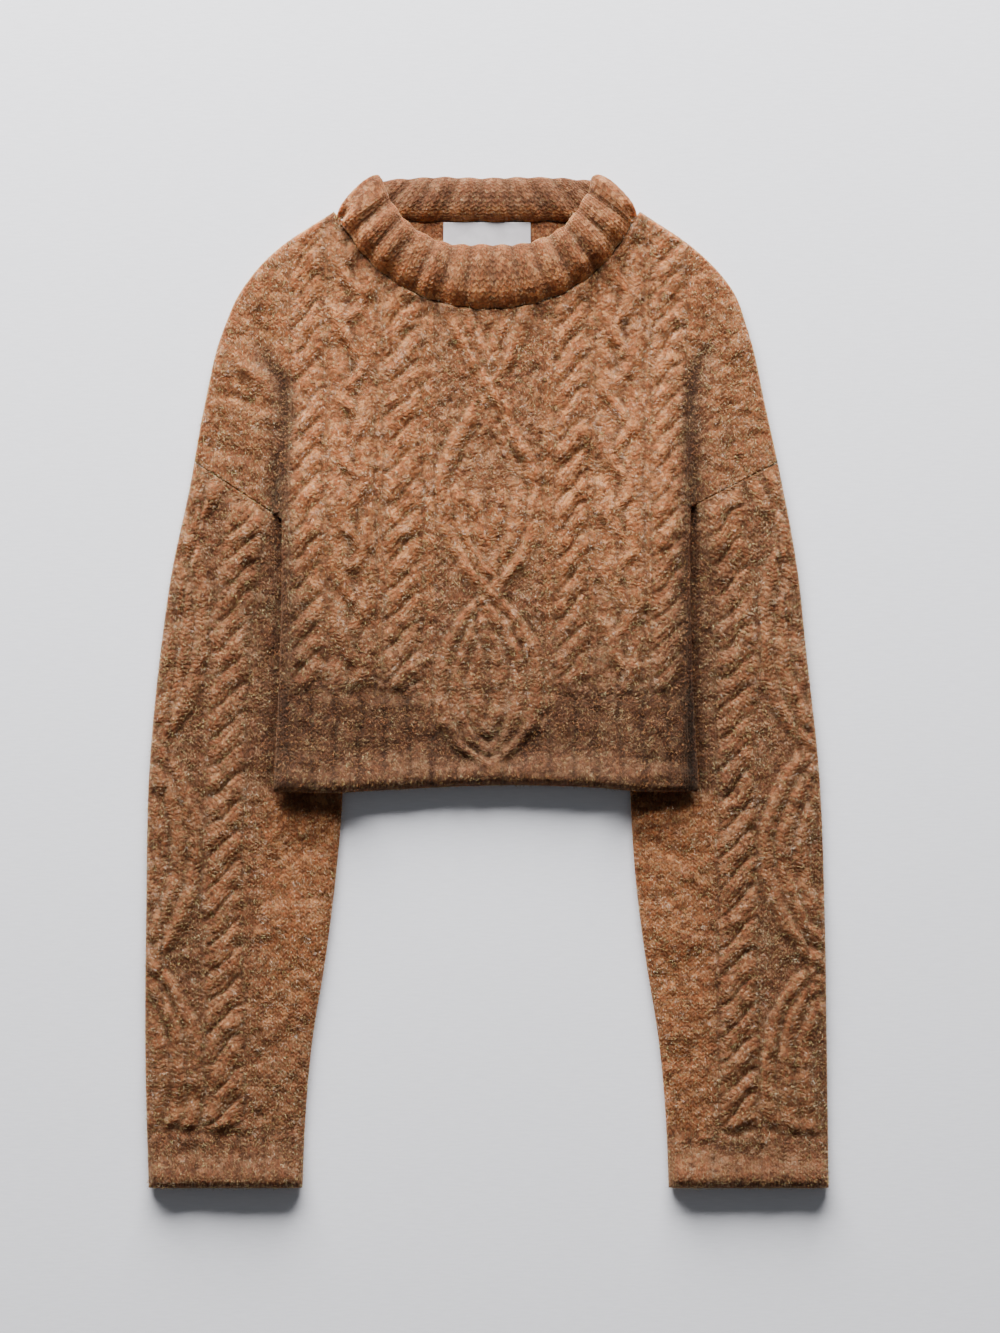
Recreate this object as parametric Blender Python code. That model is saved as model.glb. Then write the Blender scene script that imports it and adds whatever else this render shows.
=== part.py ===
"""Cropped cable-knit sweater laid flat: front, back, two sleeves, neckband and neck label.

The sweater lies on its back. The sleeves are folded down beside the body, and the sides of the body
tube lie over them. Every piece is a closed wall of knitting: its outer points carry the cables and
the ribs, and its inner points are plain. The origin is on the surface that the sweater lies on, +X
runs across it and +Y runs from the hem to the neck.
"""

import math

import bmesh
import bpy
import numpy as np
from mathutils import Vector
from mathutils.geometry import delaunay_2d_cdt

MM = 0.001

# Knitting
WALL = 4.0 * MM             # thickness of the plain ground
RELIEF = 5.2 * MM           # how far a cable stands out of the ground
RIB_RELIEF = 3.0 * MM       # how far a rib stands out of the ground
LAYER_GAP = 1.0 * MM        # air between two panels that lie on each other
SEAM_GAP = 0.3 * MM         # air between two pieces at a seam
ROPE_PITCH = 20.6 * MM      # height of one twist of a rope cable
ROW = ROPE_PITCH / 4        # spacing of the outer points up a cable
RIB_PITCH = 16.5 * MM       # two knit columns and two purl columns
PLAIT_PITCH = 131.0 * MM    # height in which one strand of a plait returns to its place
PLAIT_CROSSING = 109.0 * MM  # height of one crossing on the left of a plait
STRAND_STEP = 12.0 * MM     # distance between the strands of a diamond
STRAND_HALF = 6.0 * MM      # half the width of such a strand
RIB_COLUMNS = np.arange(-8.625, 9, 0.25) * RIB_PITCH  # X of the outer points across the hem's rib

# Shares of a cable's full height or width
ROPE_GROOVE = 0.28          # height between two strands of a rope
PLAIT_STRAND = 0.19         # half the width of a plait's strand
PLAIT_PHASE = 0.56          # part of its path that the first strand has covered at a crossing
PLAIT_HOLD = 1.8            # how squarely a strand swings: larger keeps it longer at the sides
PLAIT_UNDER = 0.40          # height of a strand where it passes under another
DIAMOND_GROUND = 0.12       # height of the ground between the strands of a diamond
DIAMOND_HEIGHT = 0.90       # height of those strands
DIAMOND_SWELL = 0.8         # below 1 the diamonds are fuller than a sine
CUFF_RIM = 0.3              # height of the rib at the cuff's end

# Laid form
SLEEVE_HEIGHT = 2 * WALL + LAYER_GAP
LIFT = SLEEVE_HEIGHT + 0.6 * MM   # how high the body's sides lie, above the sleeves
LIFT_START = 78 * MM        # distance from the middle where the body leaves the surface
LIFT_END = 103 * MM         # distance from the middle where it lies on the sleeve
LIFT_TOP = 235 * MM         # height on the body where the sides begin to rise
LIFT_FULL = 100 * MM        # height on the body below which they lie on the sleeves
FOLD_STEP = 8 * MM          # width of the step from the body down to the shoulder
GROOVE_ASIDE = 4 * MM       # distance from the body's side to the bottom of its groove
GROOVE_HALF = 5 * MM        # half the width of that groove
GROOVE_DEPTH = 2.0 * MM
EDGE_ROUND = 8 * MM         # radius over which a folded side rounds off
EDGE_RIM = 1.0 * MM         # height of a panel's rim on a folded side
RIB_TOP = -6 * MM           # where the hem's rib ends
CUFF_END = -354 * MM
CUFF_TOP = -316 * MM
SLEEVE_TOP = 78 * MM        # height of the underarm, hidden under the body
SLEEVE_UNDER_POINTS = 6     # points across a sleeve's flat underside
UNDER_INSET = 3.5 * MM      # how far the flat underside stays inside a sleeve's edges
SETTLE_ROUNDS = 5           # rounds in which a sleeve's points come to rest on its columns
SLEEVE_ROWS = 77            # rows of outer points from the cuff's rib to the armhole
SLEEVE_INNER_ROWS = 12      # rows of points along the plain inside of a sleeve

# Points of a body panel
SIDE_POINTS = 37            # from the hem up the body's side
ARMHOLE_POINTS = 12         # along an armhole seam
EDGE_POINTS = 40            # from the armhole up to the neck
NECK_POINTS = 44            # along a neckline
RIM_RING = 2.6 * MM         # distance of the first ring of outer points from the outline
RIM_CLEAR = 4.6 * MM        # distance that the other outer points keep from it
PLAIN_RING = 4.5 * MM       # distance of the first ring of plain points
PLAIN_CLEAR = 5.5 * MM      # distance that the other plain points keep
RING_SLACK = 0.6 * MM       # a ring's points may lie this much nearer the outline at its corners
TURN_LIMIT = 1.5 * MM       # diagonals turn only where their middles lie closer than this

# Neckband: a flattened loop of doubled rib
BAND_THICK = 10.0 * MM
BAND_FRONT_UNDER = 5.4 * MM  # height of the front half's underside
BAND_RIBS = 24
BAND_RIB_STEPS = 4          # stations for each rib, half of them raised
BAND_TURN_STEPS = 5         # stations where the loop turns over at a shoulder
BAND_FRONT_SHARE = 9 / 16   # share of the loop that lies in front
BAND_PURL = 0.66            # thickness between the ribs, as a share of the band's
SEAM_REACH = 0.02           # share of the band's height that its seam edge stands clear of the seam

# Section of the band: share of its height from the seam, and share of its thickness outwards
BAND_PROFILE = [
    (0.0, -0.50), (0.25, -0.50), (0.55, -0.50), (0.86, -0.46), (1.0, -0.20),
    (1.0, 0.20), (0.86, 0.46), (0.55, 0.50), (0.25, 0.50), (0.0, 0.42),
]

# Label
LABEL_WIDTH = 61 * MM
LABEL_HEIGHT = 19 * MM
LABEL_THICK = 0.6 * MM
LABEL_TOP = 320.5 * MM

CARAMEL = (0.38, 0.185, 0.100, 1.0)
DARK_CARAMEL = (0.31, 0.145, 0.078, 1.0)
LABEL_WHITE = (0.80, 0.78, 0.76, 1.0)


def table(columns, rows):
    """Rows in millimetres as a dictionary of named columns in metres."""
    values = np.array(rows, dtype=float) * MM
    return {name: values[:, index] for index, name in enumerate(columns.split())}


# Outer edge of the whole garment, from the neck point down to the cuffs
SILHOUETTE = table("y left right", [
    (328, -107, 107),
    (302, -146, 145),
    (274, -171, 171),
    (246, -184, 182),
    (190, -198, 195),
    (134, -208, 207),
    (78, -220, 217),
    (22, -228, 223),
    (-62, -236, 232),
    (-160, -238.2, 236),
    (-265, -238.8, 237.6),
    (-354, -236.5, 238.8),
])

# Inner edge of each sleeve, from the underarm down to the cuff
SLEEVE_INNER = table("y left right", [
    (78, -103, 103),
    (-97, -102, 101),
    (-140, -106, 104),
    (-195, -113, 111),
    (-251, -122, 120),
    (-307, -127, 125),
    (-354, -129, 127),
])

# Side of the body: a fold on the shoulder that becomes the tube's free side below the armhole
BODY_SIDE = table("y left right", [
    (240, -158, 157),
    (205, -154, 150),
    (165, -146, 144),
    (85, -143, 142),
    (0, -145, 143.5),
    (-78, -149, 148),
])

# Armhole seam, from the outer edge to the side of the body, and on to the underarm
ARMHOLE = {
    "left": table("x y", [(-204.5, 153), (-143.3, 113), (-103, 82)]),
    "right": table("x y", [(203.5, 153), (142.6, 121), (103, 84)]),
}

# Lower edge of the hem, and the neckline of the front and of the back
HEM = table("x y", [
    (-149, -77), (-110, -78), (-68, -76), (0, -73), (68, -74), (110, -77), (148, -77),
])
FRONT_NECK = table("x y", [
    (-107, 328), (-98, 314), (-84, 295), (-62, 277), (-33, 264.5), (1, 260),
    (35, 264.5), (64, 277), (85, 295), (98, 314), (107, 328),
])
BACK_NECK = table("x y", [
    (-107, 328), (-98, 319.5), (-80, 320.5), (-40, 321.5), (0, 321),
    (40, 321.5), (80, 320.5), (98, 319.5), (107, 328),
])

# Folded edge of the neckband: its front half and its back half
BAND_FRONT_FOLD = table("x y", [
    (-72, 345), (-65, 332), (-53, 318), (-31, 306.5), (0, 304.5),
    (31, 306.5), (54, 318), (65, 332), (72, 345),
])
BAND_BACK_FOLD = table("x y", [(-72, 350), (-40, 352), (0, 351.5), (40, 352), (72, 350)])

# Side fold of the neckband, where the loop turns over: its lower and its upper end on the right
BAND_SIDE = table("x y", [(107, 328), (79, 356)])

# Cables of the front, from left to right
FRONT_CABLES = [
    {"kind": "rope", "centre": -125.5 * MM, "width": 24.5 * MM, "steps": 4},
    {"kind": "plait", "centre": -94.0 * MM, "width": 35.0 * MM, "steps": 5},
    {"kind": "rope", "centre": -58.5 * MM, "width": 28.0 * MM, "steps": 4},
    {"kind": "diamond", "centre": 1.0 * MM, "width": 78.0 * MM, "steps": 14},
    {"kind": "rope", "centre": 59.5 * MM, "width": 25.5 * MM, "steps": 4},
    {"kind": "plait", "centre": 93.0 * MM, "width": 35.0 * MM, "steps": 5},
    {"kind": "rope", "centre": 127.0 * MM, "width": 26.0 * MM, "steps": 4},
]

# Heights at which the strands of the diamonds cross
FRONT_CROSSINGS = np.array([404.0, 204.0, 60.0, -59.0]) * MM
SLEEVE_CROSSINGS = np.array([249.0, 102.0, -45.0, -196.0, -343.0]) * MM

# Middle of the rope on each sleeve
SLEEVE_ROPE = table("y left right", [
    (160, -160, 160), (57, -176, 172), (-83, -183, 174), (-354, -183, 176),
])
SLEEVE_ROPE_WIDTH = 28 * MM

# Folds pressed into the cloth: both ends, half width and depth
CREASES = table("x0 y0 x1 y1 width depth", [
    (-184, 201, -158, 192, 4, 1.3),
    (-172, 262, -150, 236, 6, 1.2),
    (150, 290, 126, 262, 5, 1.2),
    (178, 215, 158, 226, 5, 1.3),
    (-195, 165, -166, 156, 5, 1.0),
    (194, 172, 168, 166, 5, 1.0),
])


def smooth_step(value, low, high):
    """0 at low and 1 at high, with level ends; low may be the larger of the two."""
    t = np.clip((value - low) / (high - low), 0.0, 1.0)
    return t * t * (3 - 2 * t)


def curve_at(where, knots, values):
    """Cubic curve through the knots, which rise, with slopes taken from the neighbouring knots."""
    slopes = np.gradient(values, knots)
    index = np.clip(np.searchsorted(knots, where) - 1, 0, len(knots) - 2)
    span = knots[index + 1] - knots[index]
    t = np.clip((where - knots[index]) / span, 0.0, 1.0)
    return (
        (2 * t**3 - 3 * t**2 + 1) * values[index]
        + (t**3 - 2 * t**2 + t) * span * slopes[index]
        + (-2 * t**3 + 3 * t**2) * values[index + 1]
        + (t**3 - t**2) * span * slopes[index + 1]
    )


def side_at(lines, side, y):
    """X of the left or right line of a table whose rows run downwards."""
    return curve_at(np.asarray(y, dtype=float), lines["y"][::-1], lines[side][::-1])


def along(line, count):
    """Points at even steps along a smooth curve through a table of x and y."""
    lengths = np.hypot(np.diff(line["x"]), np.diff(line["y"]))
    knots = np.concatenate([[0.0], np.cumsum(lengths)])
    steps = np.linspace(0.0, knots[-1], count)
    return np.stack([curve_at(steps, knots, line["x"]), curve_at(steps, knots, line["y"])], axis=1)


def distance_to(points, path):
    """Distance from each point to a path of straight segments, in plan."""
    start = path[:-1][None, :, :]
    step = np.diff(path, axis=0)[None, :, :]
    offset = points[:, None, :] - start
    t = np.clip((offset * step).sum(2) / (step**2).sum(2), 0.0, 1.0)
    return np.linalg.norm(offset - t[:, :, None] * step, axis=2).min(axis=1)


def rope_relief(x, y, centre, width, steps):
    """Strands that slant up to the right under a round envelope, one strand for each pitch."""
    u = (x - centre) / (width / 2)
    slope = ROW * steps / width
    strand = 0.5 + 0.5 * np.cos(2 * math.pi * (y - slope * (x - centre)) / ROPE_PITCH)
    return np.sqrt(np.clip(1 - u**2, 0, 1)) * (ROPE_GROOVE + (1 - ROPE_GROOVE) * strand)


def plait_relief(x, y, centre, width):
    """Three strands that swing from side to side, each over the next one at the outer crossings."""
    strand_half = PLAIT_STRAND * width
    swing = width / 2 - strand_half
    height = np.zeros_like(x)
    for strand in range(3):
        turn = 2 * math.pi * ((y - PLAIT_CROSSING) / PLAIT_PITCH + PLAIT_PHASE + strand / 3)
        middle = centre + swing * np.tanh(PLAIT_HOLD * np.sin(turn)) / math.tanh(PLAIT_HOLD)
        round_top = np.sqrt(np.clip(1 - ((x - middle) / strand_half) ** 2, 0, 1))
        over = 0.5 + 0.5 * np.sin(2 * turn)
        height = np.maximum(height, round_top * (PLAIT_UNDER + (1 - PLAIT_UNDER) * over))
    return height


def diamond_relief(x, y, centre, width, crossings, strands):
    """Strands on each side, one inside the other, that open from one crossing and close at the next."""
    rising = crossings[::-1]
    cell = np.clip(np.searchsorted(rising, y) - 1, 0, len(rising) - 2)
    t = np.clip((y - rising[cell]) / (rising[cell + 1] - rising[cell]), 0, 1)
    outer = (width / 2 - STRAND_HALF) * np.sin(math.pi * t) ** DIAMOND_SWELL
    height = np.full_like(x, DIAMOND_GROUND)
    for strand in range(strands):
        spread = np.maximum(outer - strand * STRAND_STEP, 0)
        for hand in (-1, 1):
            offset = (x - centre - hand * spread) / STRAND_HALF
            height = np.maximum(height, np.sqrt(np.clip(1 - offset**2, 0, 1)))
    fade = smooth_step(np.abs(x - centre), width / 2, width / 2 - STRAND_HALF / 2)
    return DIAMOND_HEIGHT * height * fade


def rib_relief(x):
    """Two high and two low points for each pitch of a rib."""
    return 0.5 + 0.5 * np.cos(2 * math.pi * (x / RIB_PITCH - 0.125))


def crease_depth(x, y):
    """Depth of the folds pressed into the cloth."""
    depth = np.zeros_like(x)
    points = np.stack([x, y], axis=1)
    for x0, y0, x1, y1, width, deep in zip(*(CREASES[name] for name in CREASES)):
        away = distance_to(points, np.array([[x0, y0], [x1, y1]]))
        depth = np.maximum(depth, deep * np.exp(-((away / width) ** 2)))
    aside = np.abs(x) - body_side(x, y) - GROOVE_ASIDE
    groove = GROOVE_DEPTH * smooth_step(y, 245 * MM, 190 * MM) * np.exp(-((aside / GROOVE_HALF) ** 2))
    return np.maximum(depth, groove)


def body_side(x, y):
    """Distance from the middle to the body's side line on each point's own side."""
    left = -side_at(BODY_SIDE, "left", y)
    right = side_at(BODY_SIDE, "right", y)
    return np.where(x < 0, left, right)


def armhole_corner(x):
    """Height at which the armhole seam meets the body's side."""
    return np.where(x < 0, ARMHOLE["left"]["y"][1], ARMHOLE["right"]["y"][1])


def lift_at(x, y):
    """Height of the body's underside: level in the middle and raised where it lies on a sleeve."""
    across = smooth_step(np.abs(x), LIFT_START, LIFT_END)
    up = smooth_step(y, LIFT_TOP, LIFT_FULL)
    below_corner = np.clip(armhole_corner(x) - y, 0, None)
    inside = body_side(x, y) + 6 * MM - np.abs(x) + below_corner
    return LIFT * across * up * smooth_step(inside, 0, FOLD_STEP)


def knit_relief(x, y):
    """Height of the front's cables and hem rib above its ground."""
    height = np.zeros_like(x)
    cables = smooth_step(y, RIB_TOP - 7 * MM, RIB_TOP + 6 * MM)
    for cable in FRONT_CABLES:
        inside = np.abs(x - cable["centre"]) <= cable["width"] / 2
        if cable["kind"] == "rope":
            shape = rope_relief(x, y, cable["centre"], cable["width"], cable["steps"]) * cables
        elif cable["kind"] == "plait":
            shape = plait_relief(x, y, cable["centre"], cable["width"]) * cables
        else:
            shape = diamond_relief(x, y, cable["centre"], cable["width"], FRONT_CROSSINGS, 2)
            shape = shape * smooth_step(y, -66 * MM, -58 * MM)
        height = np.maximum(height, np.where(inside, shape * RELIEF, 0))
    rib = rib_relief(x) * RIB_RELIEF * smooth_step(y, RIB_TOP - 3 * MM, RIB_TOP - 8 * MM)
    return np.maximum(height, rib)


class Plan:
    """Plan outline of a body panel: its points in order and the paths that are folded sides."""

    def __init__(self, neck):
        self.folded = []
        left, right = self.side_runs("left"), self.side_runs("right")
        hem_x = RIB_COLUMNS[np.abs(RIB_COLUMNS) < HEM["x"][-1] - RIB_PITCH / 4]
        hem = np.stack([hem_x, curve_at(hem_x, HEM["x"], HEM["y"])], axis=1)
        neckline = along(neck, NECK_POINTS)[1:-1][::-1]
        self.points = np.concatenate([hem, right, neckline, left[::-1]])

    def side_runs(self, side):
        """Points from the hem up one side: body side, armhole seam and outer edge."""
        seam = ARMHOLE[side]
        hem_y = HEM["y"][0] + 0.5 * MM
        side_y = np.linspace(hem_y, seam["y"][1], SIDE_POINTS)
        body = np.stack([side_at(BODY_SIDE, side, side_y), side_y], axis=1)
        seam_t = np.linspace(0, 1, ARMHOLE_POINTS)[1:-1, None]
        inner = body[-1]
        outer = np.array([seam["x"][0], seam["y"][0]])
        armhole = inner + (outer - inner) * seam_t
        edge_y = np.linspace(outer[1], SILHOUETTE["y"][0], EDGE_POINTS)
        edge = np.stack([side_at(SILHOUETTE, side, edge_y), edge_y], axis=1)
        self.folded += [body, edge]
        return np.concatenate([body, armhole, edge])

    def edge_distance(self, x, y):
        """Distance to the nearest folded side."""
        points = np.stack([x, y], axis=1)
        return np.minimum.reduce([distance_to(points, path) for path in self.folded])

    def inside(self, points, margin):
        """The points that lie inside the outline and at least a margin away from it."""
        loop = np.concatenate([self.points, self.points[:1]])
        x, y = points[:, 0:1], points[:, 1:2]
        x0, y0 = loop[:-1, 0], loop[:-1, 1]
        x1, y1 = loop[1:, 0], loop[1:, 1]
        crosses = (y0 > y) != (y1 > y)
        rise = np.where(y1 == y0, 1, y1 - y0)
        hits = crosses & (x < (x1 - x0) * (y - y0) / rise + x0)
        within = hits.sum(axis=1) % 2 == 1
        return points[within & (distance_to(points, loop) > margin)]


def moved_in(path_points, distance):
    """Points of a closed loop that runs anticlockwise, moved to its inside."""
    ahead = np.roll(path_points, -1, axis=0) - np.roll(path_points, 1, axis=0)
    normal = np.stack([-ahead[:, 1], ahead[:, 0]], axis=1)
    return path_points + distance * normal / np.linalg.norm(normal, axis=1, keepdims=True)


def grid(xs, ys):
    """All points of a rectangular grid."""
    return np.stack(np.meshgrid(xs, ys), axis=-1).reshape(-1, 2)


def triangulate(outline, inner):
    """Triangles over an outline and inner points: points, triangles, and the outline's new numbers."""
    everything = [Vector(point) for point in np.concatenate([outline, inner])]
    count = len(outline)
    ring = [(index, (index + 1) % count) for index in range(count)]
    points, _, faces, origins, _, _ = delaunay_2d_cdt(everything, ring, [], 1, 1e-7)
    number = {old: new for new, olds in enumerate(origins) for old in olds}
    return (
        np.array([tuple(point) for point in points]),
        [tuple(face) for face in faces],
        [number[index] for index in range(count)],
    )


def follow_relief(points, faces, height, height_at):
    """Turns each inner edge to the diagonal that lies closer to the height function."""
    faces = [list(face) for face in faces]
    owners = {}
    for index, face in enumerate(faces):
        for corner in range(3):
            owners[(face[corner], face[(corner + 1) % 3])] = index

    def turn_sign(a, b, c):
        return (points[b][0] - points[a][0]) * (points[c][1] - points[a][1]) - (
            points[b][1] - points[a][1]
        ) * (points[c][0] - points[a][0])

    pairs = [edge for edge in owners if edge[0] < edge[1] and (edge[1], edge[0]) in owners]
    middles = np.array([(points[a] + points[b]) / 2 for a, b in pairs])
    true_height = height_at(middles[:, 0], middles[:, 1])
    for (a, b), wanted in zip(pairs, true_height):
        first, second = owners.get((a, b)), owners.get((b, a))
        if first is None or second is None:
            continue
        c = next(point for point in faces[first] if point not in (a, b))
        d = next(point for point in faces[second] if point not in (a, b))
        convex = turn_sign(c, d, b) > 1e-9 and turn_sign(d, c, a) > 1e-9
        same_middle = np.linalg.norm((points[a] + points[b] - points[c] - points[d]) / 2) < TURN_LIMIT
        if not (convex and same_middle):
            continue
        if abs((height[c] + height[d]) / 2 - wanted) >= abs((height[a] + height[b]) / 2 - wanted):
            continue
        for edge in ((a, b), (b, a)):
            del owners[edge]
        faces[first], faces[second] = [c, d, b], [d, c, a]
        for index in (first, second):
            face = faces[index]
            for corner in range(3):
                owners[(face[corner], face[(corner + 1) % 3])] = index
    return faces


def make_object(name, points, faces, material):
    """A smooth mesh object with sharp edges where its faces meet steeply."""
    mesh = bpy.data.meshes.new(name)
    mesh.from_pydata([tuple(point) for point in points], [], [tuple(face) for face in faces])
    mesh.validate()
    shape = bmesh.new()
    shape.from_mesh(mesh)
    bmesh.ops.recalc_face_normals(shape, faces=shape.faces)
    shape.to_mesh(mesh)
    shape.free()
    mesh.materials.append(material)
    mesh.shade_smooth()
    mesh.set_sharp_from_angle(angle=math.radians(70))
    thing = bpy.data.objects.new(name, mesh)
    bpy.context.scene.collection.objects.link(thing)
    return thing


def knit_material(name, colour, roughness):
    """Principled material of one yarn."""
    material = bpy.data.materials.new(name)
    material.use_nodes = True
    shader = material.node_tree.nodes["Principled BSDF"]
    shader.inputs["Base Color"].default_value = colour
    shader.inputs["Roughness"].default_value = roughness
    shader.inputs["Metallic"].default_value = 0.0
    return material


def panel(name, outline, upper_points, lower_points, upper_at, lower_at, material):
    """A closed wall between an upper and a lower surface over one outline."""
    top, top_faces, top_ring = triangulate(outline, upper_points)
    low, low_faces, low_ring = triangulate(outline, lower_points)
    top_z = upper_at(top[:, 0], top[:, 1])
    low_z = lower_at(low[:, 0], low[:, 1])
    top_faces = follow_relief(top, top_faces, top_z, upper_at)
    shift = len(top)
    points = np.concatenate([np.column_stack([top, top_z]), np.column_stack([low, low_z])])
    faces = [tuple(face) for face in top_faces]
    faces += [tuple(shift + corner for corner in reversed(face)) for face in low_faces]
    for index in range(len(outline)):
        after = (index + 1) % len(outline)
        a, b = top_ring[index], top_ring[after]
        c, d = shift + low_ring[after], shift + low_ring[index]
        faces += [(b, a, d), (b, d, c)]
    return make_object(name, points, faces, material)


def rounded(distance):
    """0 on a folded side and 1 where its round edge ends."""
    t = np.clip(1 - distance / EDGE_ROUND, 0, 1)
    return np.sqrt(1 - t**2)


def plain_points(plan):
    """Points shared by the front's inside and both faces of the back: closer where the body rises."""
    xs = np.array([0, 40, LIFT_START / MM, 86.5, 94.5, LIFT_END / MM, 122, 134]) * MM
    xs = np.unique(np.concatenate([-xs, xs]))
    ys = np.arange(-60, 330, 18) * MM
    shoulder = grid(np.array([-185, -168, 168, 185]) * MM, np.arange(150, 300, 22) * MM)
    spread = plan.inside(np.concatenate([grid(xs, ys), shoulder]), PLAIN_CLEAR)
    ring = plan.inside(moved_in(plan.points, PLAIN_RING)[::4], PLAIN_RING - RING_SLACK)
    return np.concatenate([spread, ring])


def front_points():
    """Outer points of the front: columns on the cables, rows of a quarter twist, and rib columns."""
    columns = [
        np.linspace(c["centre"] - c["width"] / 2, c["centre"] + c["width"] / 2, c["steps"] + 1)
        for c in FRONT_CABLES
    ]
    body_rows = np.arange(RIB_TOP + 2 * MM, 330 * MM, ROW)
    body = grid(np.concatenate(columns), body_rows)
    diamond = columns[3]
    in_hem = grid(diamond, np.arange(RIB_TOP + 2 * MM, -60 * MM, -ROW)[1:])
    beside = (RIB_COLUMNS < diamond[0] - 2 * MM) | (RIB_COLUMNS > diamond[-1] + 2 * MM)
    rib = grid(RIB_COLUMNS[beside], np.array([-70, -54, -36, -20, RIB_TOP / MM - 4]) * MM)
    rib_below = grid(RIB_COLUMNS[~beside], np.array([-68 * MM]))
    shoulder_x = np.concatenate([np.arange(-198, -143, 9), np.arange(147, 200, 9)]) * MM
    shoulder = grid(shoulder_x, np.arange(118, 320, 9) * MM)
    return np.concatenate([body, in_hem, rib, rib_below, shoulder])


def make_front(material):
    """The front: cables and hem rib raised in its upper points over a plain underside."""
    plan = Plan(FRONT_NECK)
    ring = plan.inside(moved_in(plan.points, RIM_RING), RIM_RING - RING_SLACK)
    upper = np.concatenate([plan.inside(front_points(), RIM_CLEAR), ring])

    def underside(x, y):
        level = lift_at(x, y) + WALL + LAYER_GAP
        seam = level - LAYER_GAP / 2 + SEAM_GAP / 2
        return seam + (level - seam) * rounded(plan.edge_distance(x, y))

    def topside(x, y):
        level = lift_at(x, y) + WALL + LAYER_GAP
        rim = level - LAYER_GAP / 2 + SEAM_GAP / 2 + EDGE_RIM
        outer = level + WALL + knit_relief(x, y) - crease_depth(x, y)
        return rim + (outer - rim) * rounded(plan.edge_distance(x, y))

    return panel("front", plan.points, upper, plain_points(plan), topside, underside, material)


def make_back(material):
    """The back: a plain wall that lies on the surface and rises over the sleeves at its sides."""
    plan = Plan(BACK_NECK)
    inner = plain_points(plan)

    def underside(x, y):
        level = lift_at(x, y)
        rim = level + WALL + LAYER_GAP / 2 - SEAM_GAP / 2 - EDGE_RIM
        return rim + (level - rim) * rounded(plan.edge_distance(x, y))

    def topside(x, y):
        level = lift_at(x, y) + WALL
        seam = level + LAYER_GAP / 2 - SEAM_GAP / 2
        return seam + (level - seam) * rounded(plan.edge_distance(x, y))

    return panel("back", plan.points, inner, inner, topside, underside, material)


def armhole_at(side, x):
    """Height of the sleeve's upper end, a seam's gap below the body's armhole edge."""
    seam = ARMHOLE[side]
    distance = np.abs(x)
    knots = np.abs(seam["x"])
    corner, underarm = knots[1] + 3 * MM, knots[2]
    line = np.interp(distance, [corner, knots[0]], [seam["y"][1] + 2 * MM, seam["y"][0]])
    hidden = np.interp(distance, [underarm, corner - 5 * MM], [seam["y"][2], seam["y"][1] - 13 * MM])
    drop = smooth_step(distance, corner - 5 * MM, corner)
    return hidden * (1 - drop) + line * drop - 2 * SEAM_GAP


def sleeve_columns(side, y):
    """X of a sleeve's upper points, from the hidden edge to the outer edge, one row for each y."""
    hand = -1 if side == "left" else 1
    inner = np.abs(side_at(SLEEVE_INNER, side, y))
    outer = np.abs(side_at(SILHOUETTE, side, y))
    rope = np.abs(side_at(SLEEVE_ROPE, side, y))
    half = SLEEVE_ROPE_WIDTH / 2
    panel_start = rope + half + 3 * MM
    panel_end = outer - 6 * MM
    columns = [inner, inner + 2 * MM, inner + 7 * MM, (inner + rope) / 2 - 3 * MM]
    columns += [rope - half, rope - half / 2, rope, rope + half / 2, rope + half]
    columns += [panel_start + (panel_end - panel_start) * t for t in (0, 0.25, 0.5, 0.75, 1)]
    columns += [outer - 2 * MM, outer]
    cable = np.stack(columns, axis=1)
    even = np.linspace(inner + 4 * MM, outer - 4 * MM, cable.shape[1] - 4).T
    rib = np.column_stack([inner, inner + 2 * MM, even, outer - 2 * MM, outer])
    share = smooth_step(y, CUFF_TOP + 4 * MM, CUFF_TOP)[:, None]
    return hand * (cable * (1 - share) + rib * share)


def sleeve_relief(side, x, y):
    """Height of a sleeve's rope and of the half diamonds at its outer edge."""
    hand = -1 if side == "left" else 1
    rope = side_at(SLEEVE_ROPE, side, y)
    in_rope = np.abs(x - rope) <= SLEEVE_ROPE_WIDTH / 2
    height = np.where(in_rope, rope_relief(x, y, rope, SLEEVE_ROPE_WIDTH, 4), 0)
    middle = side_at(SILHOUETTE, side, y) - hand * 4 * MM
    panel_start = rope + hand * (SLEEVE_ROPE_WIDTH / 2 + 1 * MM)
    beyond = hand * (x - panel_start) > 0
    width = 2 * np.abs(middle - panel_start)
    half_panel = diamond_relief(x, y, middle, width, SLEEVE_CROSSINGS, 3)
    return np.maximum(height, np.where(beyond, half_panel, 0)) * RELIEF


def tube_faces(rows, around, shift, leans_back=False):
    """Faces of a grid of closed loops, without its ends, split along one diagonal or the other."""
    faces = []
    for row in range(rows - 1):
        for spot in range(around):
            after = (spot + 1) % around
            a = shift + row * around + spot
            b = shift + row * around + after
            if leans_back:
                faces += [(a, b, a + around), (b, b + around, a + around)]
            else:
                faces += [(a, b, b + around), (a, b + around, a + around)]
    return faces


def sleeve_rows(base_y, side, x):
    """Rows that are level at the cuff and turn to follow the armhole at the upper end."""
    reach = armhole_at(side, x) - SLEEVE_TOP
    return base_y + reach * smooth_step(base_y, -70 * MM, SLEEVE_TOP)


def settle_sleeve_points(side, base_y):
    """X and Y of a sleeve's upper points, turned by the armhole and still on their columns."""
    x = sleeve_columns(side, base_y)
    for _ in range(SETTLE_ROUNDS):
        y = sleeve_rows(base_y[:, None], side, x)
        x = np.stack([sleeve_columns(side, y[:, i])[:, i] for i in range(x.shape[1])], axis=1)
    return x, sleeve_rows(base_y[:, None], side, x)


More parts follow.
